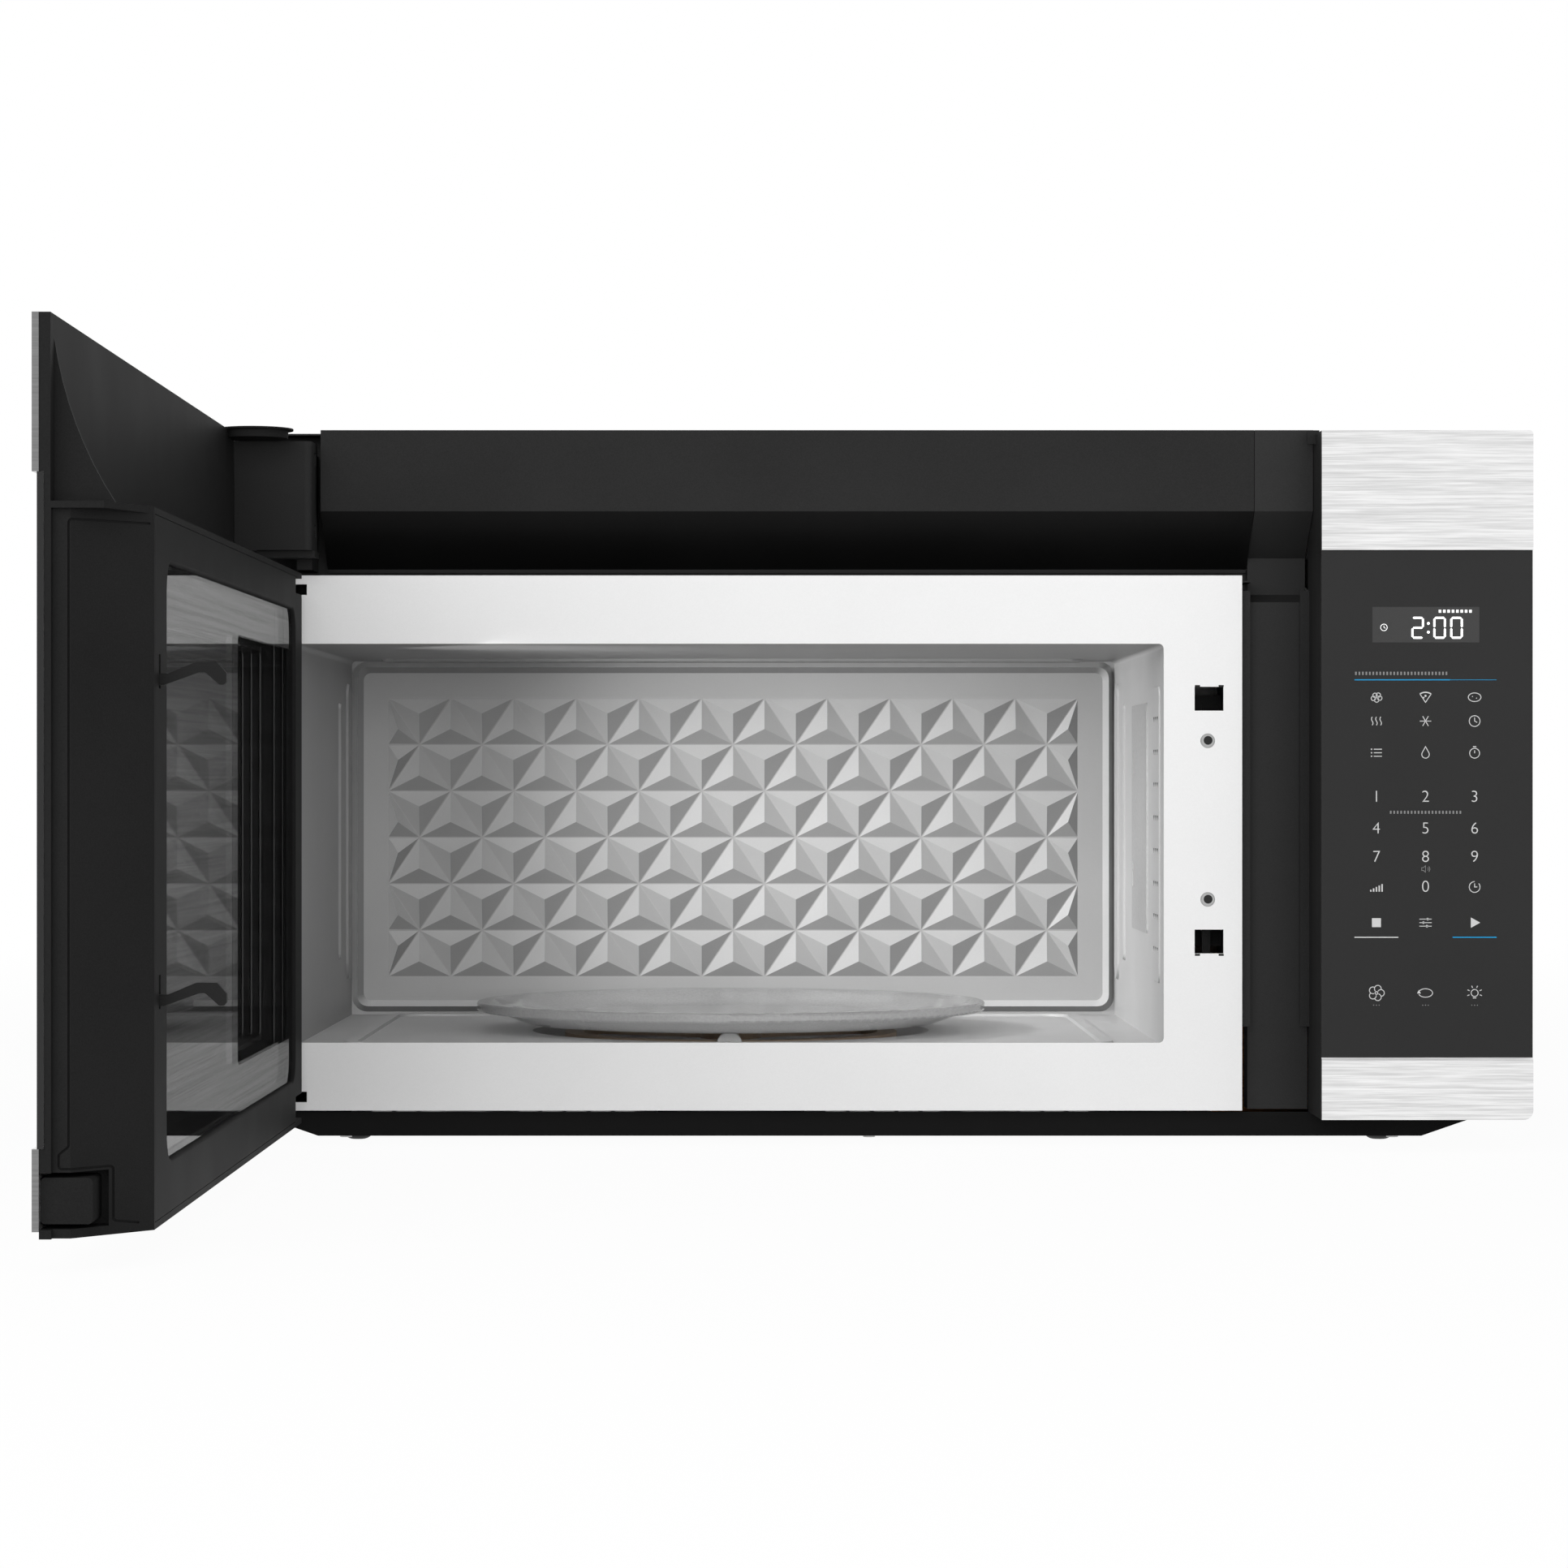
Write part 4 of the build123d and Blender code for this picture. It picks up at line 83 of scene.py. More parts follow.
def make_brushing():
    """Fine horizontal streaks, long in the level directions and close together in height."""
    tree, given, out = new_group(
        "brushing",
        [("Light", "NodeSocketColor", (0.8, 0.8, 0.8, 1)), ("Dark", "NodeSocketColor", (0.6, 0.6, 0.6, 1)),
         ("Length", "NodeSocketFloat", 30.0), ("Pitch", "NodeSocketFloat", 900.0),
         ("Bump", "NodeSocketFloat", 0.1)],
        [("Color", "NodeSocketColor"), ("Mask", "NodeSocketFloat"), ("Normal", "NodeSocketVector")])
    place = add_node(tree, "ShaderNodeTexCoord")
    stretch = add_node(tree, "ShaderNodeCombineXYZ", {
        "X": given.outputs["Length"], "Y": given.outputs["Length"], "Z": given.outputs["Pitch"]})
    scaled = add_node(tree, "ShaderNodeVectorMath", {0: place.outputs["Object"], 1: stretch.outputs[0]},
                      operation="MULTIPLY")
    fine = add_node(tree, "ShaderNodeTexNoise", {"Vector": scaled.outputs[0], "Scale": 1.0, "Detail": 3.0,
                                                 "Roughness": 0.6})
    half = add_node(tree, "ShaderNodeVectorMath", {0: scaled.outputs[0], 1: (0.4, 0.4, 0.35)}, operation="MULTIPLY")
    broad = add_node(tree, "ShaderNodeTexNoise", {"Vector": half.outputs[0], "Scale": 1.0, "Detail": 2.0})
    both = add_node(tree, "ShaderNodeMath", {0: fine.outputs["Fac"], 1: broad.outputs["Fac"]}, operation="ADD")
    mask = add_node(tree, "ShaderNodeMapRange", {"Value": both.outputs[0], "From Min": 0.78, "From Max": 1.22})
    mix = add_node(tree, "ShaderNodeMix", {"Factor": mask.outputs[0], "A": given.outputs["Dark"],
                                           "B": given.outputs["Light"]}, data_type="RGBA")
    bump = add_node(tree, "ShaderNodeBump", {"Height": fine.outputs["Fac"], "Distance": texture_depth,
                                             "Strength": given.outputs["Bump"]})
    tree.links.new(mix.outputs["Result"], out.inputs["Color"])
    tree.links.new(mask.outputs[0], out.inputs["Mask"])
    tree.links.new(bump.outputs[0], out.inputs["Normal"])
    return tree


def make_grain():
    """Fine moulded or sprayed grain, with a slow unevenness of tone."""
    tree, given, out = new_group(
        "grain",
        [("Light", "NodeSocketColor", (0.8, 0.8, 0.8, 1)), ("Dark", "NodeSocketColor", (0.6, 0.6, 0.6, 1)),
         ("Fineness", "NodeSocketFloat", 1500.0), ("Depth", "NodeSocketFloat", 0.2),
         ("Cloud", "NodeSocketFloat", 12.0), ("Smooth", "NodeSocketFloat", 0.4), ("Rough", "NodeSocketFloat", 0.5)],
        [("Color", "NodeSocketColor"), ("Roughness", "NodeSocketFloat"), ("Normal", "NodeSocketVector")])
    place = add_node(tree, "ShaderNodeTexCoord")
    fine = add_node(tree, "ShaderNodeTexNoise", {"Vector": place.outputs["Object"],
                                                 "Scale": given.outputs["Fineness"], "Detail": 1.0})
    slow = add_node(tree, "ShaderNodeTexNoise", {"Vector": place.outputs["Object"],
                                                 "Scale": given.outputs["Cloud"], "Detail": 3.0})
    tone = add_node(tree, "ShaderNodeMath", {0: fine.outputs["Fac"], 1: slow.outputs["Fac"]}, operation="ADD")
    mask = add_node(tree, "ShaderNodeMapRange", {"Value": tone.outputs[0], "From Min": 0.7, "From Max": 1.3})
    mix = add_node(tree, "ShaderNodeMix", {"Factor": mask.outputs[0], "A": given.outputs["Dark"],
                                           "B": given.outputs["Light"]}, data_type="RGBA")
    rough = add_node(tree, "ShaderNodeMapRange", {"Value": slow.outputs["Fac"], "From Min": 0.3, "From Max": 0.7,
                                                  "To Min": given.outputs["Smooth"],
                                                  "To Max": given.outputs["Rough"]})
    bump = add_node(tree, "ShaderNodeBump", {"Height": fine.outputs["Fac"], "Distance": texture_depth,
                                             "Strength": given.outputs["Depth"]})
    tree.links.new(mix.outputs["Result"], out.inputs["Color"])
    tree.links.new(rough.outputs[0], out.inputs["Roughness"])
    tree.links.new(bump.outputs[0], out.inputs["Normal"])
    return tree


def make_edge_shade():
    """Darkens a colour on the faces that look along the piece's own depth, such as the cut edge of a trim: painted
    shade.
    """
    tree, given, out = new_group(
        "edge_shade",
        [("Color", "NodeSocketColor", (0.8, 0.8, 0.8, 1)), ("Share", "NodeSocketFloat", 0.3)],
        [("Color", "NodeSocketColor")])
    place = add_node(tree, "ShaderNodeTexCoord")
    size = add_node(tree, "ShaderNodeVectorMath", {0: place.outputs["Normal"]}, operation="ABSOLUTE")
    split = add_node(tree, "ShaderNodeSeparateXYZ", {0: size.outputs[0]})
    mask = add_node(tree, "ShaderNodeMapRange", {"Value": split.outputs["Y"], "From Min": 0.5, "From Max": 0.8,
                                                 "To Min": 1.0})
    tree.links.new(given.outputs["Share"], mask.inputs["To Max"])
    scaled = add_node(tree, "ShaderNodeVectorMath", {0: given.outputs["Color"]}, operation="SCALE")
    tree.links.new(mask.outputs[0], scaled.inputs["Scale"])
    tree.links.new(scaled.outputs[0], out.inputs["Color"])
    return tree


def make_window_mask():
    """One inside a rounded rectangle in the plane of the open door, nought outside it."""
    tree, given, out = new_group(
        "window_mask",
        [("Middle", "NodeSocketVector", (0.0, 0.0, 0.0)), ("Reach", "NodeSocketVector", (0.1, 0.1, 0.1)),
         ("Corner", "NodeSocketFloat", 0.005)],
        [("Mask", "NodeSocketFloat")])
    place = add_node(tree, "ShaderNodeTexCoord")
    away = add_node(tree, "ShaderNodeVectorMath", {0: place.outputs["Object"], 1: given.outputs["Middle"]},
                    operation="SUBTRACT")
    size = add_node(tree, "ShaderNodeVectorMath", {0: away.outputs[0]}, operation="ABSOLUTE")
    over = add_node(tree, "ShaderNodeVectorMath", {0: size.outputs[0], 1: given.outputs["Reach"]},
                    operation="SUBTRACT")
    clipped = add_node(tree, "ShaderNodeVectorMath", {0: over.outputs[0], 1: (0.0, 0.0, 0.0)},
                       operation="MAXIMUM")
    far = add_node(tree, "ShaderNodeVectorMath", {0: clipped.outputs[0]}, operation="LENGTH")
    mask = add_node(tree, "ShaderNodeMath", {0: far.outputs["Value"], 1: given.outputs["Corner"]},
                    operation="LESS_THAN")
    tree.links.new(mask.outputs[0], out.inputs["Mask"])
    return tree


def make_painted_underside_shade():
    """Darkens a colour where the surface looks down: painted shade, as under a hood with nothing bright below it."""
    tree, given, out = new_group(
        "underside",
        [("Color", "NodeSocketColor", (0.8, 0.8, 0.8, 1)), ("Share", "NodeSocketFloat", 0.3)],
        [("Color", "NodeSocketColor")])
    surface = add_node(tree, "ShaderNodeNewGeometry")
    split = add_node(tree, "ShaderNodeSeparateXYZ", {0: surface.outputs["Normal"]})
    mask = add_node(tree, "ShaderNodeMapRange", {"Value": split.outputs["Z"], "From Min": -0.2, "From Max": -0.6,
                                                 "To Min": 1.0})
    tree.links.new(given.outputs["Share"], mask.inputs["To Max"])
    scaled = add_node(tree, "ShaderNodeVectorMath", {0: given.outputs["Color"]}, operation="SCALE")
    tree.links.new(mask.outputs[0], scaled.inputs["Scale"])
    tree.links.new(scaled.outputs[0], out.inputs["Color"])
    return tree


def make_side_light():
    """Painted light and shade: lightens a colour on the faces that lean towards one side and darkens it on those that
    lean away.
    """
    tree, given, out = new_group(
        "side_light",
        [("Color", "NodeSocketColor", (0.8, 0.8, 0.8, 1)), ("Side", "NodeSocketVector", (-0.7, 0.0, 0.7)),
         ("Least", "NodeSocketFloat", 0.7), ("Most", "NodeSocketFloat", 1.3)],
        [("Color", "NodeSocketColor")])
    surface = add_node(tree, "ShaderNodeNewGeometry")
    lean = add_node(tree, "ShaderNodeVectorMath", {0: surface.outputs["Normal"], 1: given.outputs["Side"]},
                    operation="DOT_PRODUCT")
    level = add_node(tree, "ShaderNodeMapRange", {"Value": lean.outputs["Value"], "From Min": -0.45, "From Max": 0.6,
                                                  "To Min": given.outputs["Least"],
                                                  "To Max": given.outputs["Most"]})
    scaled = add_node(tree, "ShaderNodeVectorMath", {0: given.outputs["Color"]}, operation="SCALE")
    tree.links.new(level.outputs[0], scaled.inputs["Scale"])
    tree.links.new(scaled.outputs[0], out.inputs["Color"])
    return tree


BRUSHING = make_brushing()
GRAIN = make_grain()
EDGE_SHADE = make_edge_shade()
WINDOW_MASK = make_window_mask()
PAINTED_UNDERSIDE_SHADE = make_painted_underside_shade()
SIDE_LIGHT = make_side_light()


def rgb(value, tint=(1.0, 1.0, 1.0)):
    """A near-neutral colour from one linear level."""
    return (value * tint[0], value * tint[1], value * tint[2], 1.0)


def start_material(name):
    """A material holding only its output and one Principled shader."""
    material = bpy.data.materials.new(name)
    material.use_nodes = True
    tree = material.node_tree
    tree.nodes.clear()
    shader = tree.nodes.new("ShaderNodeBsdfPrincipled")
    out = tree.nodes.new("ShaderNodeOutputMaterial")
    tree.links.new(shader.outputs["BSDF"], out.inputs["Surface"])
    return material, tree, shader


def grained(name, light, dark, smooth=0.4, rough=0.5, fineness=1500.0, depth=0.2, metallic=0.0, specular=0.5):
    """A moulded, sprayed or cast finish."""
    material, tree, shader = start_material(name)
    grain = add_node(tree, "ShaderNodeGroup", {"Light": light, "Dark": dark, "Fineness": fineness, "Depth": depth,
                                               "Smooth": smooth, "Rough": rough}, node_tree=GRAIN)
    tree.links.new(grain.outputs["Color"], shader.inputs["Base Color"])
    tree.links.new(grain.outputs["Roughness"], shader.inputs["Roughness"])
    tree.links.new(grain.outputs["Normal"], shader.inputs["Normal"])
    shader.inputs["Metallic"].default_value = metallic
    shader.inputs["Specular IOR Level"].default_value = specular
    return material


def brushed(name, light, dark, roughness=0.3, length=30.0, pitch=900.0, bump=0.1, metallic=1.0):
    """A brushed sheet finish."""
    material, tree, shader = start_material(name)
    lines = add_node(tree, "ShaderNodeGroup", {"Light": light, "Dark": dark, "Length": length, "Pitch": pitch,
                                               "Bump": bump}, node_tree=BRUSHING)
    tree.links.new(lines.outputs["Color"], shader.inputs["Base Color"])
    tree.links.new(lines.outputs["Normal"], shader.inputs["Normal"])
    shader.inputs["Metallic"].default_value = metallic
    shader.inputs["Roughness"].default_value = roughness
    return material


def shade_colour(material, group, values):
    """The same material, with its colour sent through a shading group."""
    tree = material.node_tree
    shader = tree.nodes["Principled BSDF"]
    colour = shader.inputs["Base Color"].links[0].from_socket
    shade = add_node(tree, "ShaderNodeGroup", {**values, "Color": colour}, node_tree=group)
    tree.links.new(shade.outputs["Color"], shader.inputs["Base Color"])
    return material


def grained_with_painted_underside_shade(name, light, dark, share=0.3, **look):
    """A grained finish with painted shade on the faces that look down."""
    return shade_colour(grained(name, light, dark, **look), PAINTED_UNDERSIDE_SHADE, {"Share": share})


def enamel_with_painted_light(name, light, dark, least, most, **look):
    """Smooth enamel with painted light and painted shade on its pressed facets and walls, by their lean towards the
    upper left.
    """
    return shade_colour(grained(name, light, dark, **look), SIDE_LIGHT, {"Least": least, "Most": most})


def trim_sheet(name, light, dark, share, **look):
    """A brushed sheet with painted shade on its cut edges, which are darker than its face."""
    return shade_colour(brushed(name, light, dark, **look), EDGE_SHADE, {"Share": share})


def window_pane(name, color, corner, clear_from):
    """Dark mirror film on the door's inner pane, left clear over the hinge side of the window."""
    material, tree, shader = start_material(name)
    low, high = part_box("door_screen")
    low.y += clear_from * (high.y - low.y)
    reach = (high - low) / 2
    past_the_pane = 1.0
    mask = add_node(tree, "ShaderNodeGroup",
                    {"Middle": (low + high) / 2, "Corner": corner,
                     "Reach": (reach.x + past_the_pane, reach.y - corner, reach.z - corner)}, node_tree=WINDOW_MASK)
    lines = add_node(tree, "ShaderNodeGroup",
                     {"Light": color, "Dark": rgb(0.5 * color[0]), "Length": 6.0, "Pitch": 1300.0, "Bump": 0.0},
                     node_tree=BRUSHING)
    streaks = add_node(tree, "ShaderNodeMapRange", {"Value": lines.outputs["Mask"], "To Min": 0.4, "To Max": 0.55})
    cover = add_node(tree, "ShaderNodeMapRange", {"Value": mask.outputs["Mask"], "To Min": streaks.outputs[0],
                                                  "To Max": 0.01})
    tree.links.new(cover.outputs[0], shader.inputs["Alpha"])
    tree.links.new(lines.outputs["Color"], shader.inputs["Base Color"])
    shader.inputs["Roughness"].default_value = 0.02
    return material


def clear(name, color, roughness=0.02):
    """Glass or clear plastic."""
    material, tree, shader = start_material(name)
    shader.inputs["Base Color"].default_value = color
    shader.inputs["Transmission Weight"].default_value = 1.0
    shader.inputs["Roughness"].default_value = roughness
    return material


def frosted_glass(name, color):
    """Clear glass with a fine frost that catches the light."""
    material = grained(name, color, rgb(0.85 * color[0]), smooth=0.02, rough=0.05, fineness=700.0, depth=0.5)
    shader = material.node_tree.nodes["Principled BSDF"]
    shader.inputs["Transmission Weight"].default_value = 0.6
    shader.inputs["IOR"].default_value = 1.42
    return material


def lit(name, color, strength):
    """A lit segment of the display."""
    material, tree, shader = start_material(name)
    shader.inputs["Base Color"].default_value = color
    shader.inputs["Emission Color"].default_value = color
    shader.inputs["Emission Strength"].default_value = strength
    return material


# ---------------------------------------------------------------- finishes
finish = {
    # the stainless trims carry painted shade on their cut edges
    "stainless": trim_sheet("stainless", rgb(0.93), rgb(0.7), 0.3, roughness=0.36, length=40.0, pitch=2400.0,
                            bump=0.04),
    "panel_trim": brushed("panel_trim", rgb(0.97), rgb(0.7), roughness=0.36, length=40.0, pitch=2400.0,
                          bump=0.04),
    # these three finishes carry painted shade on their down-facing faces
    "black_moulding": grained_with_painted_underside_shade("black_moulding", rgb(0.022), rgb(0.016), smooth=0.45, rough=0.52, specular=0.1,
                             depth=0.05),
    "door_moulding": grained("door_moulding", rgb(0.016), rgb(0.012), smooth=0.5, rough=0.56, specular=0.02,
                             depth=0.04),
    # a lighter copy of the black moulding for the column: painted light against the shade it sits in
    "column_moulding_painted_light": grained("column_moulding_painted_light", rgb(0.028), rgb(0.022), smooth=0.45, rough=0.52, specular=0.12,
                               depth=0.05),
    "recess_black": grained("recess_black", rgb(0.006), rgb(0.004), smooth=0.14, rough=0.18, specular=0.5,
                            depth=0.0),
    "hook_moulding": grained("hook_moulding", rgb(0.016), rgb(0.012), smooth=0.4, rough=0.46,
                             specular=0.05, depth=0.03),
    "black_case": grained_with_painted_underside_shade("black_case", rgb(0.02), rgb(0.014), smooth=0.45, rough=0.55, specular=0.15, depth=0.2,
                         fineness=900.0),
    "pan_paint": grained_with_painted_underside_shade("pan_paint", rgb(0.006), rgb(0.004), smooth=0.45, rough=0.55, specular=0.08, depth=0.1),
    "screen_paint": brushed("screen_paint", rgb(0.05), rgb(0.002), roughness=0.05, length=16.0, pitch=600.0,
                            bump=0.008, metallic=0.0),
    "panel_glass": grained("panel_glass", rgb(0.026), rgb(0.024), smooth=0.22, rough=0.26, specular=0.1,
                           depth=0.0),
    "door_glass": clear("door_glass", rgb(0.12)),
    "inner_pane": window_pane("inner_pane", rgb(0.02), 0.005, 0.49),
    "white_enamel": grained("white_enamel", rgb(0.86), rgb(0.83), smooth=0.3, rough=0.36, depth=0.02,
                            specular=0.3),
    # the cavity carries painted light from the upper left and painted shade on the faces that lean away
    "cavity_enamel": enamel_with_painted_light("cavity_enamel", rgb(0.53), rgb(0.48), 0.5, 1.65, smooth=0.4, rough=0.46,
                               fineness=2600.0, depth=0.02, specular=0.4),
    "tray_glass": frosted_glass("tray_glass", rgb(0.98)),
    "tan_resin": grained("tan_resin", rgb(1.0, (0.36, 0.27, 0.19)), rgb(1.0, (0.29, 0.21, 0.145)), depth=0.1),
    "white_resin": grained("white_resin", rgb(0.78), rgb(0.7), depth=0.05),
    "grey_resin": grained("grey_resin", rgb(0.24), rgb(0.2), depth=0.1),
    "dark_resin": grained("dark_resin", rgb(0.02), rgb(0.012), depth=0.1, specular=0.2),
    "galvanised": grained("galvanised", rgb(0.62), rgb(0.45), smooth=0.3, rough=0.5, fineness=240.0, metallic=1.0,
                          depth=0.05),
    "aluminium": brushed("aluminium", rgb(0.8), rgb(0.66), roughness=0.35, length=120.0, pitch=900.0),
    "mica_board": grained("mica_board", rgb(0.72), rgb(0.62), smooth=0.35,
                          rough=0.5, fineness=500.0, depth=0.1),
    "winding": brushed("winding", rgb(1.0, (0.62, 0.26, 0.1)), rgb(1.0, (0.32, 0.12, 0.05)), roughness=0.35,
                       length=8.0, pitch=1500.0, bump=0.4),
    "board_green": grained("board_green", rgb(1.0, (0.03, 0.16, 0.07)), rgb(1.0, (0.02, 0.11, 0.05)),
                           smooth=0.25, rough=0.35),
    "display_lens": grained("display_lens", rgb(0.042), rgb(0.038), smooth=0.2, rough=0.24, specular=0.25,
                            depth=0.0),
    "carbon_pad": grained("carbon_pad", rgb(0.02), rgb(0.004), smooth=0.8, rough=0.95, fineness=450.0, depth=0.9),
    "rubber": grained("rubber", rgb(0.015), rgb(0.01), smooth=0.6, rough=0.75, depth=0.2),
    "lamp_glass": clear("lamp_glass", rgb(0.9), roughness=0.25),
    "screw_steel": grained("screw_steel", rgb(0.5), rgb(0.4), smooth=0.25, rough=0.35, metallic=1.0, depth=0.03),
    "print_white": grained("print_white", rgb(0.62), rgb(0.58), depth=0.0, specular=0.2),
    "print_grey": grained("print_grey", rgb(0.24), rgb(0.22), depth=0.0, specular=0.2),
    "print_blue": grained("print_blue", rgb(1.0, (0.01, 0.31, 0.62)), rgb(1.0, (0.01, 0.29, 0.59)), depth=0.0,
                          specular=0.2),
    "display_lit": lit("display_lit", rgb(1.0), 1.1),
    "display_dim": lit("display_dim", rgb(0.8), 0.55),
}

node_finish = {
    "case_top": "black_case", "case_side_panels": "black_case", "rear_panel": "galvanised",
    "cabinet_bolt_nuts": "galvanised",
    "base_pan": "pan_paint", "base_feet": "rubber", "front_plate": "white_enamel",
    "cavity_shell": "cavity_enamel", "cavity_floor": "cavity_enamel", "cavity_back_wall": "cavity_enamel",
    "turntable_well_wall": "cavity_enamel", "turntable_well": "cavity_enamel",
    "glass_tray": "tray_glass", "turntable_coupler": "white_resin", "roller_ring": "tan_resin",
    "roller_front": "white_resin", "roller_right": "white_resin", "roller_left": "white_resin",
    "turntable_motor": "galvanised", "vent_cover": "black_moulding", "upper_front_panel": "black_case",
    "column_trim": "column_moulding_painted_light", "hinge_tower_cover": "black_moulding",
    "control_panel_frame": "black_moulding", "control_panel_glass": "panel_glass",
    "control_top_trim": "panel_trim", "control_bottom_trim": "panel_trim",
    "display_module": "display_lens", "control_board": "board_green",
    "hinge_brackets": "galvanised",
    "door_outer_frame": "door_moulding", "door_hinge_bushes": "white_resin",
    "door_bottom_trim": "stainless", "door_glass": "door_glass", "door_top_trim": "stainless",
    "door_choke_frame": "recess_black", "door_screen": "screen_paint",
    "door_inner_cover": "door_moulding", "door_inner_pane": "inner_pane",
    "latch_bar": "hook_moulding", "latch_carrier": "dark_resin", "interlock_lever": "dark_resin",
    "interlock_switches": "black_moulding", "fixing_screws": "screw_steel",
    "waveguide": "galvanised", "waveguide_cover": "mica_board", "magnetron": "aluminium",
    "high_voltage_transformer": "winding", "high_voltage_capacitor": "aluminium",
    "high_voltage_diode": "black_moulding", "cooling_fan_housing": "grey_resin",
    "cooling_fan_blade": "white_resin", "exhaust_blower_housing": "galvanised",
    "exhaust_blower_motor": "galvanised", "exhaust_blower_wheels": "black_moulding",
    "cavity_lamp": "lamp_glass", "cooktop_lamps": "lamp_glass", "grease_filters": "aluminium",
    "charcoal_filter": "carbon_pad", "cord_grommet": "rubber",
}
for name, label in node_finish.items():
    mesh = nodes[name].data
    mesh.materials.clear()
    mesh.materials.append(finish[label])


# ---------------------------------------------------------------- printed panel
glass_low, glass_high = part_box("control_panel_glass")
print_y = glass_low.y - 0.05 * MM
print_depth = 0.15 * MM
panel_mid = (glass_low.x + glass_high.x) / 2
column_step = 28.2 * MM
columns = [panel_mid - 0.9 * MM + step * column_step for step in (-1, 0, 1)]
line_reach = 12.6 * MM
left_edge, right_edge = columns[0] - line_reach, columns[2] + line_reach
fine_line, bold_line, faint_line = 0.32 * MM, 0.5 * MM, 0.28 * MM
underline_width, underline_height = 25.2 * MM, 0.6 * MM
number_size = 9.6 * MM

# heights of the printed rows
state_row, display_row = 101.7 * MM, 92.2 * MM
heading_row, heading_line = 66.0 * MM, 62.3 * MM
food_row, programme_row, menu_row = 52.3 * MM, 38.6 * MM, 20.4 * MM
first_row, second_row, third_row = -5.0 * MM, -23.2 * MM, -39.5 * MM
note_row, sound_row, power_row = -13.8 * MM, -46.4 * MM, -56.7 * MM
start_row, start_line = -77.2 * MM, -85.6 * MM
feature_row, feature_dots = -117.6 * MM, -124.6 * MM


class Artwork:
    """Flat shapes drawn on the panel face in metres, gathered into one thin raised piece."""

    def __init__(self):
        self.shapes = []

    def polygon(self, points):
        self.shapes.append([Vector((x, z)) for x, z in points])

    def bar(self, x, z, width, height):
        w, h = width / 2, height / 2
        self.polygon([(x - w, z - h), (x + w, z - h), (x + w, z + h), (x - w, z + h)])

    def stroke(self, points, width, closed=False):
        """A line of even width through the points, one quad to a run, mitred at its corners."""
        line = [Vector(p) for p in points]
        count = len(line)
        sides = []
        for i, p in enumerate(line):
            before = line[i - 1] if i > 0 or closed else None
            after = line[(i + 1) % count] if i < count - 1 or closed else None
            a = (p - before).normalized() if before is not None else (after - p).normalized()
            b = (after - p).normalized() if after is not None else a
            along = (a + b).normalized() if (a + b).length > 1e-6 else a
            across = Vector((-along.y, along.x))
            grow = min(1.0 / max(across.dot(Vector((-a.y, a.x))), 0.35), 2.0)
            sides.append((p + across * width / 2 * grow, p - across * width / 2 * grow))
        runs = count if closed else count - 1
        for i in range(runs):
            (l0, r0), (l1, r1) = sides[i], sides[(i + 1) % count]
            self.shapes.append([r0, r1, l1, l0])

    def arc(self, x, z, radius, start, end, width, steps=20, squash=1.0):
        whole = abs(end - start) >= 360
        count = steps if whole else steps + 1
        points = []
        for i in range(count):
            turn = math.radians(start + (end - start) * i / steps)
            points.append((x + radius * math.cos(turn), z + radius * squash * math.sin(turn)))
        self.stroke(points, width, closed=whole)

    def disc(self, x, z, radius, steps=14):
        self.polygon([(x + radius * math.cos(2 * math.pi * i / steps), z + radius * math.sin(2 * math.pi * i / steps))
                      for i in range(steps)])

    def swell(self, middles, reach, factor):
        """Enlarges the drawn shapes about the nearest of the given middles, within the reach."""
        for shape in self.shapes:
            centre = sum(shape, Vector((0, 0))) / len(shape)
            near = min(middles, key=lambda m: (centre - m).length)
            if (centre - near).length < reach:
                shape[:] = [near + (p - near) * factor for p in shape]

    def build(self, name, material, face_y=print_y, thickness=print_depth):
        mesh = bpy.data.meshes.new(name)
        work = bmesh.new()
        for shape in self.shapes:
            area = sum(a.x * b.y - b.x * a.y for a, b in zip(shape, shape[1:] + shape[:1]))
            ordered = shape if area > 0 else shape[::-1]
            front = [work.verts.new((p.x, face_y - thickness, p.y)) for p in ordered]
            back = [work.verts.new((p.x, face_y + thickness, p.y)) for p in ordered]
            work.faces.new(front)
            work.faces.new(back[::-1])
            for i in range(len(front)):
                j = (i + 1) % len(front)
                work.faces.new((front[j], front[i], back[i], back[j]))
        bmesh.ops.recalc_face_normals(work, faces=work.faces)
        work.to_mesh(mesh)
        work.free()
        mesh.materials.append(material)
        piece = bpy.data.objects.new(name, mesh)
        bpy.context.scene.collection.objects.link(piece)
        return piece


def numerals(name, entries, size, material):
    """Plain numbers printed on the panel: entries are (text, x, z)."""
    stroke_thinning = 0.15 * MM
    mesh = bpy.data.meshes.new(name)
    work = bmesh.new()
    for text, x, z in entries:
        curve = bpy.data.curves.new(name, "FONT")
        curve.body = text
        curve.size = size
        curve.extrude = print_depth
        curve.offset = -stroke_thinning
        curve.align_x = "CENTER"
        curve.align_y = "CENTER"
        draft = bpy.data.objects.new(name, curve)
        bpy.context.scene.collection.objects.link(draft)
        bpy.context.view_layer.update()
        glyph = bpy.data.meshes.new_from_object(draft.evaluated_get(bpy.context.evaluated_depsgraph_get()))
        glyph.transform(Matrix.Translation((x, print_y, z)) @ Matrix.Rotation(math.pi / 2, 4, "X"))
        work.from_mesh(glyph)
        bpy.data.objects.remove(draft)
        bpy.data.curves.remove(curve)
        bpy.data.meshes.remove(glyph)
    bmesh.ops.remove_doubles(work, verts=work.verts, dist=1e-7)
    work.to_mesh(mesh)
    work.free()
    mesh.materials.append(material)
    piece = bpy.data.objects.new(name, mesh)
    bpy.context.scene.collection.objects.link(piece)
    return piece


SEGMENTS = {"0": "abcdef", "2": "abged"}


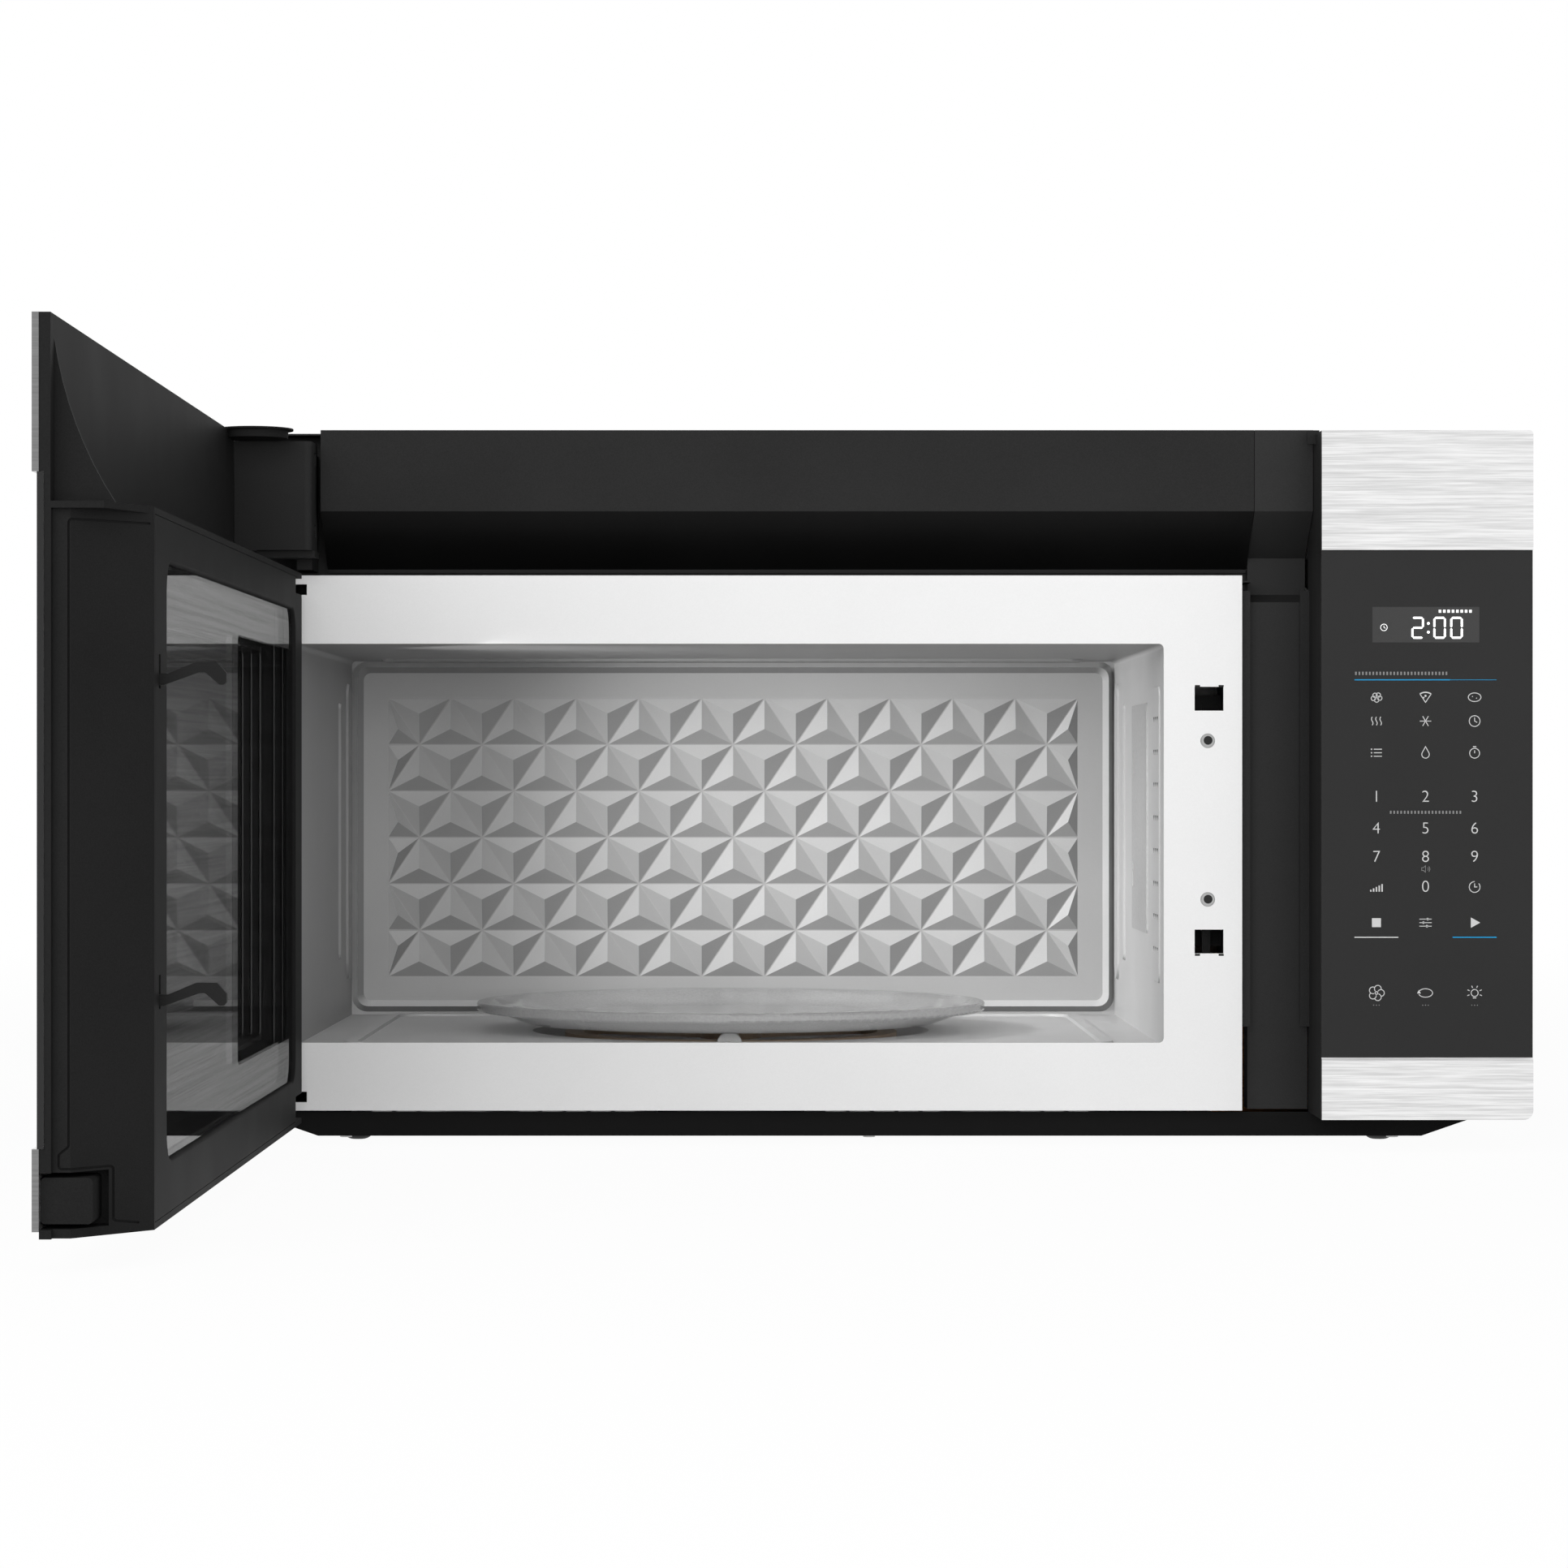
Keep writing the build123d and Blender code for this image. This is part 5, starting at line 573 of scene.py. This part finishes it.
def seven_segment(art, digit, x, z, width, height, stroke):
    """One display digit centred at x, z, made of bevelled bars."""
    w, h, s = width / 2 - stroke / 2, height / 2 - stroke / 2, stroke / 2
    gap = stroke * 0.16
    ends = {"a": ((-w, h), (w, h)), "b": ((w, h), (w, 0)), "c": ((w, 0), (w, -h)), "d": ((-w, -h), (w, -h)),
            "e": ((-w, -h), (-w, 0)), "f": ((-w, 0), (-w, h)), "g": ((-w, 0), (w, 0))}
    for label in SEGMENTS[digit]:
        a, b = (Vector(p) for p in ends[label])
        along = (b - a).normalized()
        across = Vector((-along.y, along.x)) * s
        a, b = a + along * gap, b - along * gap
        outline = [a, a + along * s + across, b - along * s + across, b, b - along * s - across,
                   a + along * s - across]
        art.polygon([(p.x + x, p.y + z) for p in outline])


def draw_display(bright, dim):
    """Clock digits with a colon, a row of state marks and a small clock."""
    digit_x = panel_mid + 6.6 * MM
    digit_width, digit_height, digit_stroke = 7.2 * MM, 12.6 * MM, 1.15 * MM
    for text, offset in (("2", -12.0), ("0", 0.6), ("0", 10.3)):
        seven_segment(bright, text, digit_x + offset * MM, display_row, digit_width, digit_height, digit_stroke)
    for rise in (-2.5, 2.5):
        bright.disc(digit_x - 5.9 * MM, display_row + rise * MM, 0.8 * MM)
    for i in range(8):
        dim.bar(panel_mid + (7.4 + 2.5 * i) * MM, state_row, 1.5 * MM, 1.7 * MM)
    mark_x, mark_z, mark_radius = columns[0] + 4.3 * MM, 92.4 * MM, 1.9 * MM
    dim.arc(mark_x, mark_z, mark_radius, 0, 360, 0.35 * MM)
    dim.stroke([(mark_x, 93.5 * MM), (mark_x, 92.3 * MM), (mark_x + 1.0 * MM, 91.9 * MM)], 0.3 * MM)


def draw_heading(grey, blue):
    """A row of small bars over a blue line that thins towards the right."""
    for i in range(27):
        grey.bar(left_edge + (0.8 + 2.0 * i) * MM, heading_row, 0.9 * MM, 1.9 * MM)
    turn_x = columns[1] + 14 * MM
    blue.bar((left_edge + turn_x) / 2, heading_line, turn_x - left_edge, 0.55 * MM)
    blue.bar((turn_x + right_edge) / 2, heading_line, right_edge - turn_x, 0.25 * MM)


def draw_food(white):
    """Three food pictograms: rings, a slice and an oval."""
    c0, c1, c2 = columns
    row = food_row
    for dx, dz in ((-1.3, -0.5), (0.1, -1.2), (1.4, -0.4), (-0.6, 0.8), (0.8, 0.9)):
        white.arc(c0 + dx * MM, row + dz * MM, 0.95 * MM, 0, 360, fine_line, steps=12)
    white.stroke([(c1 - 2.4 * MM, row + 1.4 * MM), (c1, row - 2.2 * MM), (c1 + 2.4 * MM, row + 1.4 * MM)],
                 fine_line)
    white.arc(c1, row - 2.2 * MM, 4.3 * MM, 56, 124, bold_line, steps=10)
    white.disc(c1, row + 0.6 * MM, 0.45 * MM)
    white.disc(c1 - 0.8 * MM, row - 0.2 * MM, 0.35 * MM)
    white.arc(c2, row, 2.7 * MM, 0, 360, fine_line, steps=22, squash=0.68)
    white.disc(c2 - 0.9 * MM, row + 0.3 * MM, 0.22 * MM)
    white.disc(c2 + 0.8 * MM, row - 0.4 * MM, 0.22 * MM)


def draw_programmes(white):
    """Waves, a star and a clock, over a list, a drop and a stopwatch."""
    c0, c1, c2 = columns
    row = programme_row
    for dx in (-1.8, 0.0, 1.8):
        white.stroke([(c0 + (dx + 0.35 * math.sin(i * 1.05)) * MM, row + (-1.8 + 0.6 * i) * MM)
                      for i in range(7)], fine_line)
    for turn in (0, 60, 120):
        step = Vector((math.cos(math.radians(turn)), math.sin(math.radians(turn)))) * 2.4 * MM
        white.stroke([(c1 - step.x, row - step.y), (c1 + step.x, row + step.y)], fine_line)
    white.arc(c2, row, 2.3 * MM, 0, 360, fine_line, steps=22)
    white.stroke([(c2, row + 1.5 * MM), (c2, row), (c2 + 1.1 * MM, row - 0.6 * MM)], fine_line)
    row = menu_row
    for dz in (-1.5, 0.0, 1.5):
        white.bar(c0 + 0.6 * MM, row + dz * MM, 3.4 * MM, 0.34 * MM)
        white.disc(c0 - 2.1 * MM, row + dz * MM, 0.32 * MM, steps=8)
    white.arc(c1, row - 0.7 * MM, 1.6 * MM, 150, 390, fine_line, steps=16)
    white.stroke([(c1 - 1.39 * MM, row + 0.1 * MM), (c1, row + 2.6 * MM), (c1 + 1.39 * MM, row + 0.1 * MM)],
                 fine_line)
    white.arc(c2, row - 0.2 * MM, 2.1 * MM, 0, 360, fine_line, steps=22)
    white.stroke([(c2, row + 1.0 * MM), (c2, row - 0.2 * MM)], fine_line)
    white.bar(c2, row + 2.6 * MM, 1.4 * MM, 0.4 * MM)


def draw_notes(grey):
    """A row of small bars and a loudspeaker between the numbers."""
    x, row = columns[1], sound_row
    for i in range(21):
        grey.bar(x + (i - 10) * 2.0 * MM, note_row, 0.9 * MM, 1.7 * MM)
    grey.stroke([(x - 2.2 * MM, row - 0.8 * MM), (x - 1.2 * MM, row - 0.8 * MM), (x, row - 1.9 * MM),
                 (x, row + 1.9 * MM), (x - 1.2 * MM, row + 0.8 * MM), (x - 2.2 * MM, row + 0.8 * MM)],
                faint_line, closed=True)
    for radius in (1.2, 2.1):
        grey.arc(x + 0.4 * MM, row, radius * MM, -45, 45, faint_line, steps=8)


def draw_controls(white, blue):
    """Rising bars and a clock, over a square, sliders and a triangle with two underlines."""
    c0, c1, c2 = columns
    row = power_row
    for i in range(5):
        white.bar(c0 + (i - 2) * 1.2 * MM, row + (-1.6 + 0.3 * i) * MM, 0.6 * MM, (0.8 + 0.6 * i) * MM)
    white.arc(c2, row, 2.3 * MM, 90, 400, fine_line, steps=20)
    white.stroke([(c2, row + 1.5 * MM), (c2, row), (c2 + 1.1 * MM, row)], fine_line)
    row = start_row
    white.polygon([(c0 + dx * MM, row + dz * MM)
                   for dx, dz in ((-1.9, -1.9), (1.9, -1.9), (1.9, 1.9), (-1.9, 1.9))])
    white.polygon([(c2 + dx * MM, row + dz * MM) for dx, dz in ((-1.6, -2.2), (2.4, 0.0), (-1.6, 2.2))])
    for dz, dx in ((1.5, 0.9), (0.0, -0.9), (-1.5, 0.6)):
        white.bar(c1, row + dz * MM, 5.2 * MM, 0.3 * MM)
        white.disc(c1 + dx * MM, row + dz * MM, 0.55 * MM, steps=10)
    white.bar(c0, start_line, underline_width, underline_height)
    blue.bar(c2, start_line, underline_width, underline_height)


def draw_features(white, grey):
    """A rosette, a turning ring and a bulb, each over three small dots."""
    c0, c1, c2 = columns
    row = feature_row
    for turn in range(0, 360, 72):
        base = math.radians(turn)
        white.arc(c0 + 1.9 * MM * math.cos(base), row + 1.9 * MM * math.sin(base), 1.45 * MM,
                  turn - 80, turn + 150, fine_line, steps=10)
    white.arc(c0, row, 0.6 * MM, 0, 360, fine_line, steps=10)
    white.arc(c1, row, 3.0 * MM, 200, 510, fine_line, steps=22, squash=0.6)
    white.polygon([(c1 - 3.6 * MM, row - 0.2 * MM), (c1 - 2.0 * MM, row - 0.2 * MM),
                   (c1 - 2.8 * MM, row + 1.3 * MM)])
    white.arc(c2, row, 1.5 * MM, 0, 360, fine_line, steps=16)
    white.bar(c2, row - 2.1 * MM, 1.4 * MM, 0.4 * MM)
    for turn in range(-20, 201, 44):
        base = math.radians(turn)
        white.stroke([(c2 + r * MM * math.cos(base), row + r * MM * math.sin(base)) for r in (2.3, 3.3)],
                     fine_line)
    for x in columns:
        for i in range(3):
            grey.disc(x + (i - 1) * 1.6 * MM, feature_dots, 0.3 * MM, steps=8)


def panel_artwork():
    """Display, pictograms, numbers and underlines of the control panel."""
    white, grey, blue, bright, dim = Artwork(), Artwork(), Artwork(), Artwork(), Artwork()
    draw_display(bright, dim)
    draw_heading(grey, blue)
    draw_food(white)
    draw_programmes(white)
    draw_notes(grey)
    draw_controls(white, blue)
    draw_features(white, grey)
    middles = [Vector((x, z)) for x in columns
               for z in (food_row, programme_row, menu_row, power_row, start_row, feature_row)]
    white.swell(middles, reach=6.0 * MM, factor=1.35)
    digits = []
    for labels, z in (("123", first_row), ("456", second_row), ("789", third_row)):
        digits += [(text, x, z) for text, x in zip(labels, columns)]
    digits.append(("0", columns[1], power_row))
    made = [white.build("panel_pictograms", finish["print_white"]),
            grey.build("panel_small_marks", finish["print_grey"]),
            blue.build("panel_blue_lines", finish["print_blue"]),
            bright.build("display_digits", finish["display_lit"]),
            dim.build("display_marks", finish["display_dim"]),
            numerals("panel_numbers", digits, number_size, finish["print_white"])]
    window = Artwork()
    module_low, module_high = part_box("display_module")
    window.bar((module_low.x + module_high.x) / 2, (module_low.z + module_high.z) / 2,
               module_high.x - module_low.x, module_high.z - module_low.z)
    lens = window.build("display_window", finish["display_lens"])
    behind_the_marks = 0.12 * MM
    lens.data.transform(Matrix.Translation((0, behind_the_marks, 0)))
    made.append(lens)
    for piece in made:
        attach(piece, "cabinet")


panel_artwork()


# ---------------------------------------------------------------- front plate and door recess
def slot_ears(face_y, slot_x0, slot_x1):
    """The small ears at the outer end of each latch slot."""
    ear_width, ear_rise = 3.0 * MM, 1.2 * MM
    upper_edge, lower_edge = 59.2 * MM, -97.0 * MM
    dark = Artwork()
    for edge, side in ((upper_edge, 1), (lower_edge, -1)):
        for x in (slot_x0 + ear_width / 2, slot_x1 - ear_width / 2):
            dark.bar(x, edge + side * ear_rise / 2, ear_width, ear_rise)
    return dark.build("latch_slot_ears", finish["dark_resin"], face_y, 0.06 * MM)


def screw_socket_shade(x):
    """Dark discs on the heads of the two plate screws: painted shade in their sockets."""
    socket_radius = 2.6 * MM
    sockets = Artwork()
    for z in (28.0 * MM, -65.0 * MM):
        sockets.disc(x, z, socket_radius, steps=24)
    return sockets.build("screw_socket_shade", finish["dark_resin"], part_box("fixing_screws")[0].y, 0.05 * MM)


def seam_shadow_strips(plate_x, plate_y, panel_x):
    """Dark strips behind the open seams on both sides of the column: painted shadow where the seams show only shade.
    """
    strip_width, strip_height, strip_z, strip_depth = 8.0 * MM, 256.0 * MM, -12.0 * MM, 6 * MM
    seams = Artwork()
    for x in (plate_x + 1.5 * MM, panel_x - 1.5 * MM):
        seams.bar(x, strip_z, strip_width, strip_height)
    return seams.build("seam_shadow_strips", finish["dark_resin"], plate_y + strip_depth, 0.4 * MM)


def column_top_shadow_filler(face_y, panel_x):
    """A small black piece in the notch between the column's top and the panel: painted shade where the notch is in
    shadow.
    """
    top_gap = Artwork()
    top_gap.bar(panel_x - 1.5 * MM, cad_high.z - 5.0 * MM, 7.0 * MM, 8.0 * MM)
    return top_gap.build("column_top_shadow_filler", finish["black_moulding"], face_y - 22 * MM, 1.0 * MM)


def plate_details():
    """Slot ears, the painted shade in the screw sockets, and the pieces of painted shade beside the column."""
    plate_low, plate_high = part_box("front_plate")
    panel_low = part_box("control_panel_frame")[0]
    slot_x0, slot_x1 = 190.2 * MM, 207.1 * MM
    screw_x = (slot_x0 + slot_x1) / 2 - 0.8 * MM
    for piece in (slot_ears(plate_low.y, slot_x0, slot_x1), screw_socket_shade(screw_x),
                  seam_shadow_strips(plate_high.x, plate_high.y, panel_low.x),
                  column_top_shadow_filler(plate_low.y, panel_low.x)):
        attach(piece, "cabinet")


def make_ridge_tree(material):
    """Rounded rectangles of round bar, repeated at an even pitch: the pressed ridges of a door recess."""
    tree = bpy.data.node_groups.new("recess_ridges", "GeometryNodeTree")
    for label, kind, value in (("Length", "NodeSocketFloat", 0.48), ("Height", "NodeSocketFloat", 0.22),
                               ("Corner", "NodeSocketFloat", 0.006), ("Bar Radius", "NodeSocketFloat", 0.001),
                               ("Count", "NodeSocketInt", 4), ("Pitch", "NodeSocketFloat", 0.005)):
        tree.interface.new_socket(name=label, in_out="INPUT", socket_type=kind).default_value = value
    tree.interface.new_socket(name="Geometry", in_out="OUTPUT", socket_type="NodeSocketGeometry")
    given, out = tree.nodes.new("NodeGroupInput"), tree.nodes.new("NodeGroupOutput")
    size = given.outputs
    loop = add_node(tree, "GeometryNodeCurvePrimitiveQuadrilateral",
                    {"Width": size["Length"], "Height": size["Height"]})
    rounded = add_node(tree, "GeometryNodeFilletCurve", {"Curve": loop.outputs[0], "Radius": size["Corner"],
                                                         "Count": 5}, mode="POLY")
    section = add_node(tree, "GeometryNodeCurvePrimitiveCircle", {"Resolution": 10, "Radius": size["Bar Radius"]})
    bar = add_node(tree, "GeometryNodeCurveToMesh", {"Curve": rounded.outputs[0],
                                                     "Profile Curve": section.outputs[0]})
    step = add_node(tree, "ShaderNodeCombineXYZ", {"Z": size["Pitch"]})
    row = add_node(tree, "GeometryNodeMeshLine", {"Count": size["Count"], "Offset": step.outputs[0]})
    placed = add_node(tree, "GeometryNodeInstanceOnPoints", {"Points": row.outputs[0], "Instance": bar.outputs[0]})
    real = add_node(tree, "GeometryNodeRealizeInstances", {0: placed.outputs[0]})
    painted = add_node(tree, "GeometryNodeSetMaterial", {"Geometry": real.outputs[0]})
    painted.inputs["Material"].default_value = material
    tree.links.new(painted.outputs[0], out.inputs["Geometry"])
    return tree


def grow(name, tree, values):
    """The plain mesh that a Geometry Nodes tree makes from its named inputs."""
    draft = bpy.data.objects.new(name, bpy.data.meshes.new(name))
    bpy.context.scene.collection.objects.link(draft)
    modifier = draft.modifiers.new(name, "NODES")
    modifier.node_group = tree
    for item in tree.interface.items_tree:
        if item.item_type == "SOCKET" and item.in_out == "INPUT" and item.name in values:
            modifier[item.identifier] = values[item.name]
    bpy.context.view_layer.update()
    mesh = bpy.data.meshes.new_from_object(draft.evaluated_get(bpy.context.evaluated_depsgraph_get()))
    bpy.data.objects.remove(draft)
    mesh.name = name
    piece = bpy.data.objects.new(name, mesh)
    bpy.context.scene.collection.objects.link(piece)
    return piece


def recess_ridges():
    """Glossy ridges round the window tube and round the wide recess in front of it."""
    tree = make_ridge_tree(finish["recess_black"])
    screen_low, screen_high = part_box("door_screen")
    frame_low, frame_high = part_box("door_choke_frame")
    turned = Matrix(((0, 0, 1, 0), (1, 0, 0, 0), (0, 1, 0, 0), (0, 0, 0, 1)))
    wall, corner, pitch = 1.5 * MM, 5 * MM, 5 * MM
    for name, low, high, inset, first, count, bar in (
            ("window_tube_ridges", screen_low, screen_high, 0.0, frame_low.x + 6 * MM, 4, 0.9 * MM),
            ("wide_recess_ridges", frame_low, frame_high, wall, frame_high.x - 8 * MM, 2, 1.1 * MM)):
        spread = high - low
        piece = grow(name, tree, {"Length": spread.y - 2 * inset, "Height": spread.z - 2 * inset,
                                  "Corner": corner, "Bar Radius": bar, "Count": count, "Pitch": pitch})
        middle = (low + high) / 2
        piece.data.transform(Matrix.Translation((first, middle.y, middle.z)) @ turned)
        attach(piece, "door")


plate_details()
recess_ridges()


# ---------------------------------------------------------------- stage, lights and camera
def light_paths(tree):
    """One for camera, glossy and transmission rays, nought for the rest."""
    path = tree.nodes.new("ShaderNodeLightPath")
    first = add_node(tree, "ShaderNodeMath", {0: path.outputs["Is Camera Ray"], 1: path.outputs["Is Glossy Ray"]},
                     operation="MAXIMUM")
    return add_node(tree, "ShaderNodeMath", {0: first.outputs[0], 1: path.outputs["Is Transmission Ray"]},
                    operation="MAXIMUM").outputs[0]


def make_world(fill):
    world = bpy.data.worlds.new("studio")
    bpy.context.scene.world = world
    world.use_nodes = True
    tree = world.node_tree
    tree.nodes.clear()
    soft = add_node(tree, "ShaderNodeBackground", {"Color": (1, 1, 1, 1), "Strength": fill})
    white = add_node(tree, "ShaderNodeBackground", {"Color": (1, 1, 1, 1), "Strength": 1.0})
    mix = add_node(tree, "ShaderNodeMixShader", {"Fac": light_paths(tree)})
    out = tree.nodes.new("ShaderNodeOutputWorld")
    tree.links.new(soft.outputs[0], mix.inputs[1])
    tree.links.new(white.outputs[0], mix.inputs[2])
    tree.links.new(mix.outputs[0], out.inputs["Surface"])


def make_floor(height, size):
    """A pale floor that keeps the soft shadow and meets the white background."""
    mesh = bpy.data.meshes.new("studio_floor")
    mesh.from_pydata([(-size, -size, height), (size, -size, height), (size, size, height), (-size, size, height)],
                     [], [(0, 1, 2, 3)])
    floor = bpy.data.objects.new("studio_floor", mesh)
    bpy.context.scene.collection.objects.link(floor)
    material, tree, shader = start_material("studio_floor")
    shader.inputs["Base Color"].default_value = rgb(0.92)
    shader.inputs["Roughness"].default_value = 0.9
    shader.inputs["Specular IOR Level"].default_value = 0.0
    glow = add_node(tree, "ShaderNodeEmission", {"Color": (1, 1, 1, 1), "Strength": 1.0})
    mix = add_node(tree, "ShaderNodeMixShader")
    place = add_node(tree, "ShaderNodeTexCoord")
    away = add_node(tree, "ShaderNodeVectorMath", {0: place.outputs["Object"]}, operation="LENGTH")
    shadow_reach, white_from, shadow_share = 0.7, 3.0, 0.04
    fade = add_node(tree, "ShaderNodeMapRange",
                    {"Value": away.outputs["Value"], "From Min": shadow_reach, "From Max": white_from,
                     "To Min": 1.0 - shadow_share, "To Max": 1.0}, interpolation_type="SMOOTHSTEP")
    share = add_node(tree, "ShaderNodeMath", {0: light_paths(tree), 1: fade.outputs[0]}, operation="MULTIPLY")
    tree.links.new(share.outputs[0], mix.inputs["Fac"])
    tree.links.new(shader.outputs[0], mix.inputs[1])
    tree.links.new(glow.outputs[0], mix.inputs[2])
    tree.links.new(mix.outputs[0], tree.nodes["Material Output"].inputs["Surface"])
    mesh.materials.append(material)


def soft_box(name, place, target, width, height, power, spread=180):
    """A rectangular lamp that lights but shows neither itself nor its mirror image."""
    lamp = bpy.data.lights.new(name, "AREA")
    lamp.shape = "RECTANGLE"
    lamp.size = width
    lamp.size_y = height
    lamp.energy = power
    lamp.spread = math.radians(spread)
    holder = bpy.data.objects.new(name, lamp)
    bpy.context.scene.collection.objects.link(holder)
    holder.location = place
    holder.rotation_euler = (Vector(target) - Vector(place)).to_track_quat("-Z", "Y").to_euler()
    holder.visible_camera = False
    holder.visible_transmission = False
    holder.visible_glossy = False


world_fill = 0.42
floor_gap, floor_reach = 0.5 * MM, 12.0
make_world(world_fill)
make_floor(cad_low.z - floor_gap, floor_reach)
soft_box("key_light", place=(-1.0, -2.7, 1.0), target=(0.0, -0.2, 0.0), width=2.2, height=1.4, power=29)
soft_box("fill_light", place=(1.5, -2.8, 0.35), target=(0.0, -0.3, 0.0), width=1.8, height=0.9, power=10)
soft_box("front_light", place=(0.2, -3.4, 0.2), target=(0.0, -0.2, -0.1), width=2.0, height=0.7, power=20)
# inside the oven's mouth, up on the left
soft_box("oven_light", place=(-0.27, -0.33, 0.05), target=(0.14, -0.02, -0.06), width=0.1, height=0.06,
         power=0.3, spread=90)

# camera solved from the photograph: level, looking straight at the wall
camera_x, camera_height, camera_distance = -60.9 * MM, 2 * MM, 2.4
front_face_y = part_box("control_top_trim")[0].y
camera_data = bpy.data.cameras.new("photo_camera")
camera_data.sensor_width = 36.0
camera_data.lens = 96.0
camera_data.shift_x = 0.01139
camera_data.shift_y = 0.0005
camera_data.clip_end = 50
camera = bpy.data.objects.new("photo_camera", camera_data)
bpy.context.scene.collection.objects.link(camera)
camera.location = (camera_x, front_face_y - camera_distance, camera_height)
camera.rotation_euler = (math.pi / 2, 0, 0)
bpy.context.scene.camera = camera

bpy.context.scene.view_settings.view_transform = "Standard"
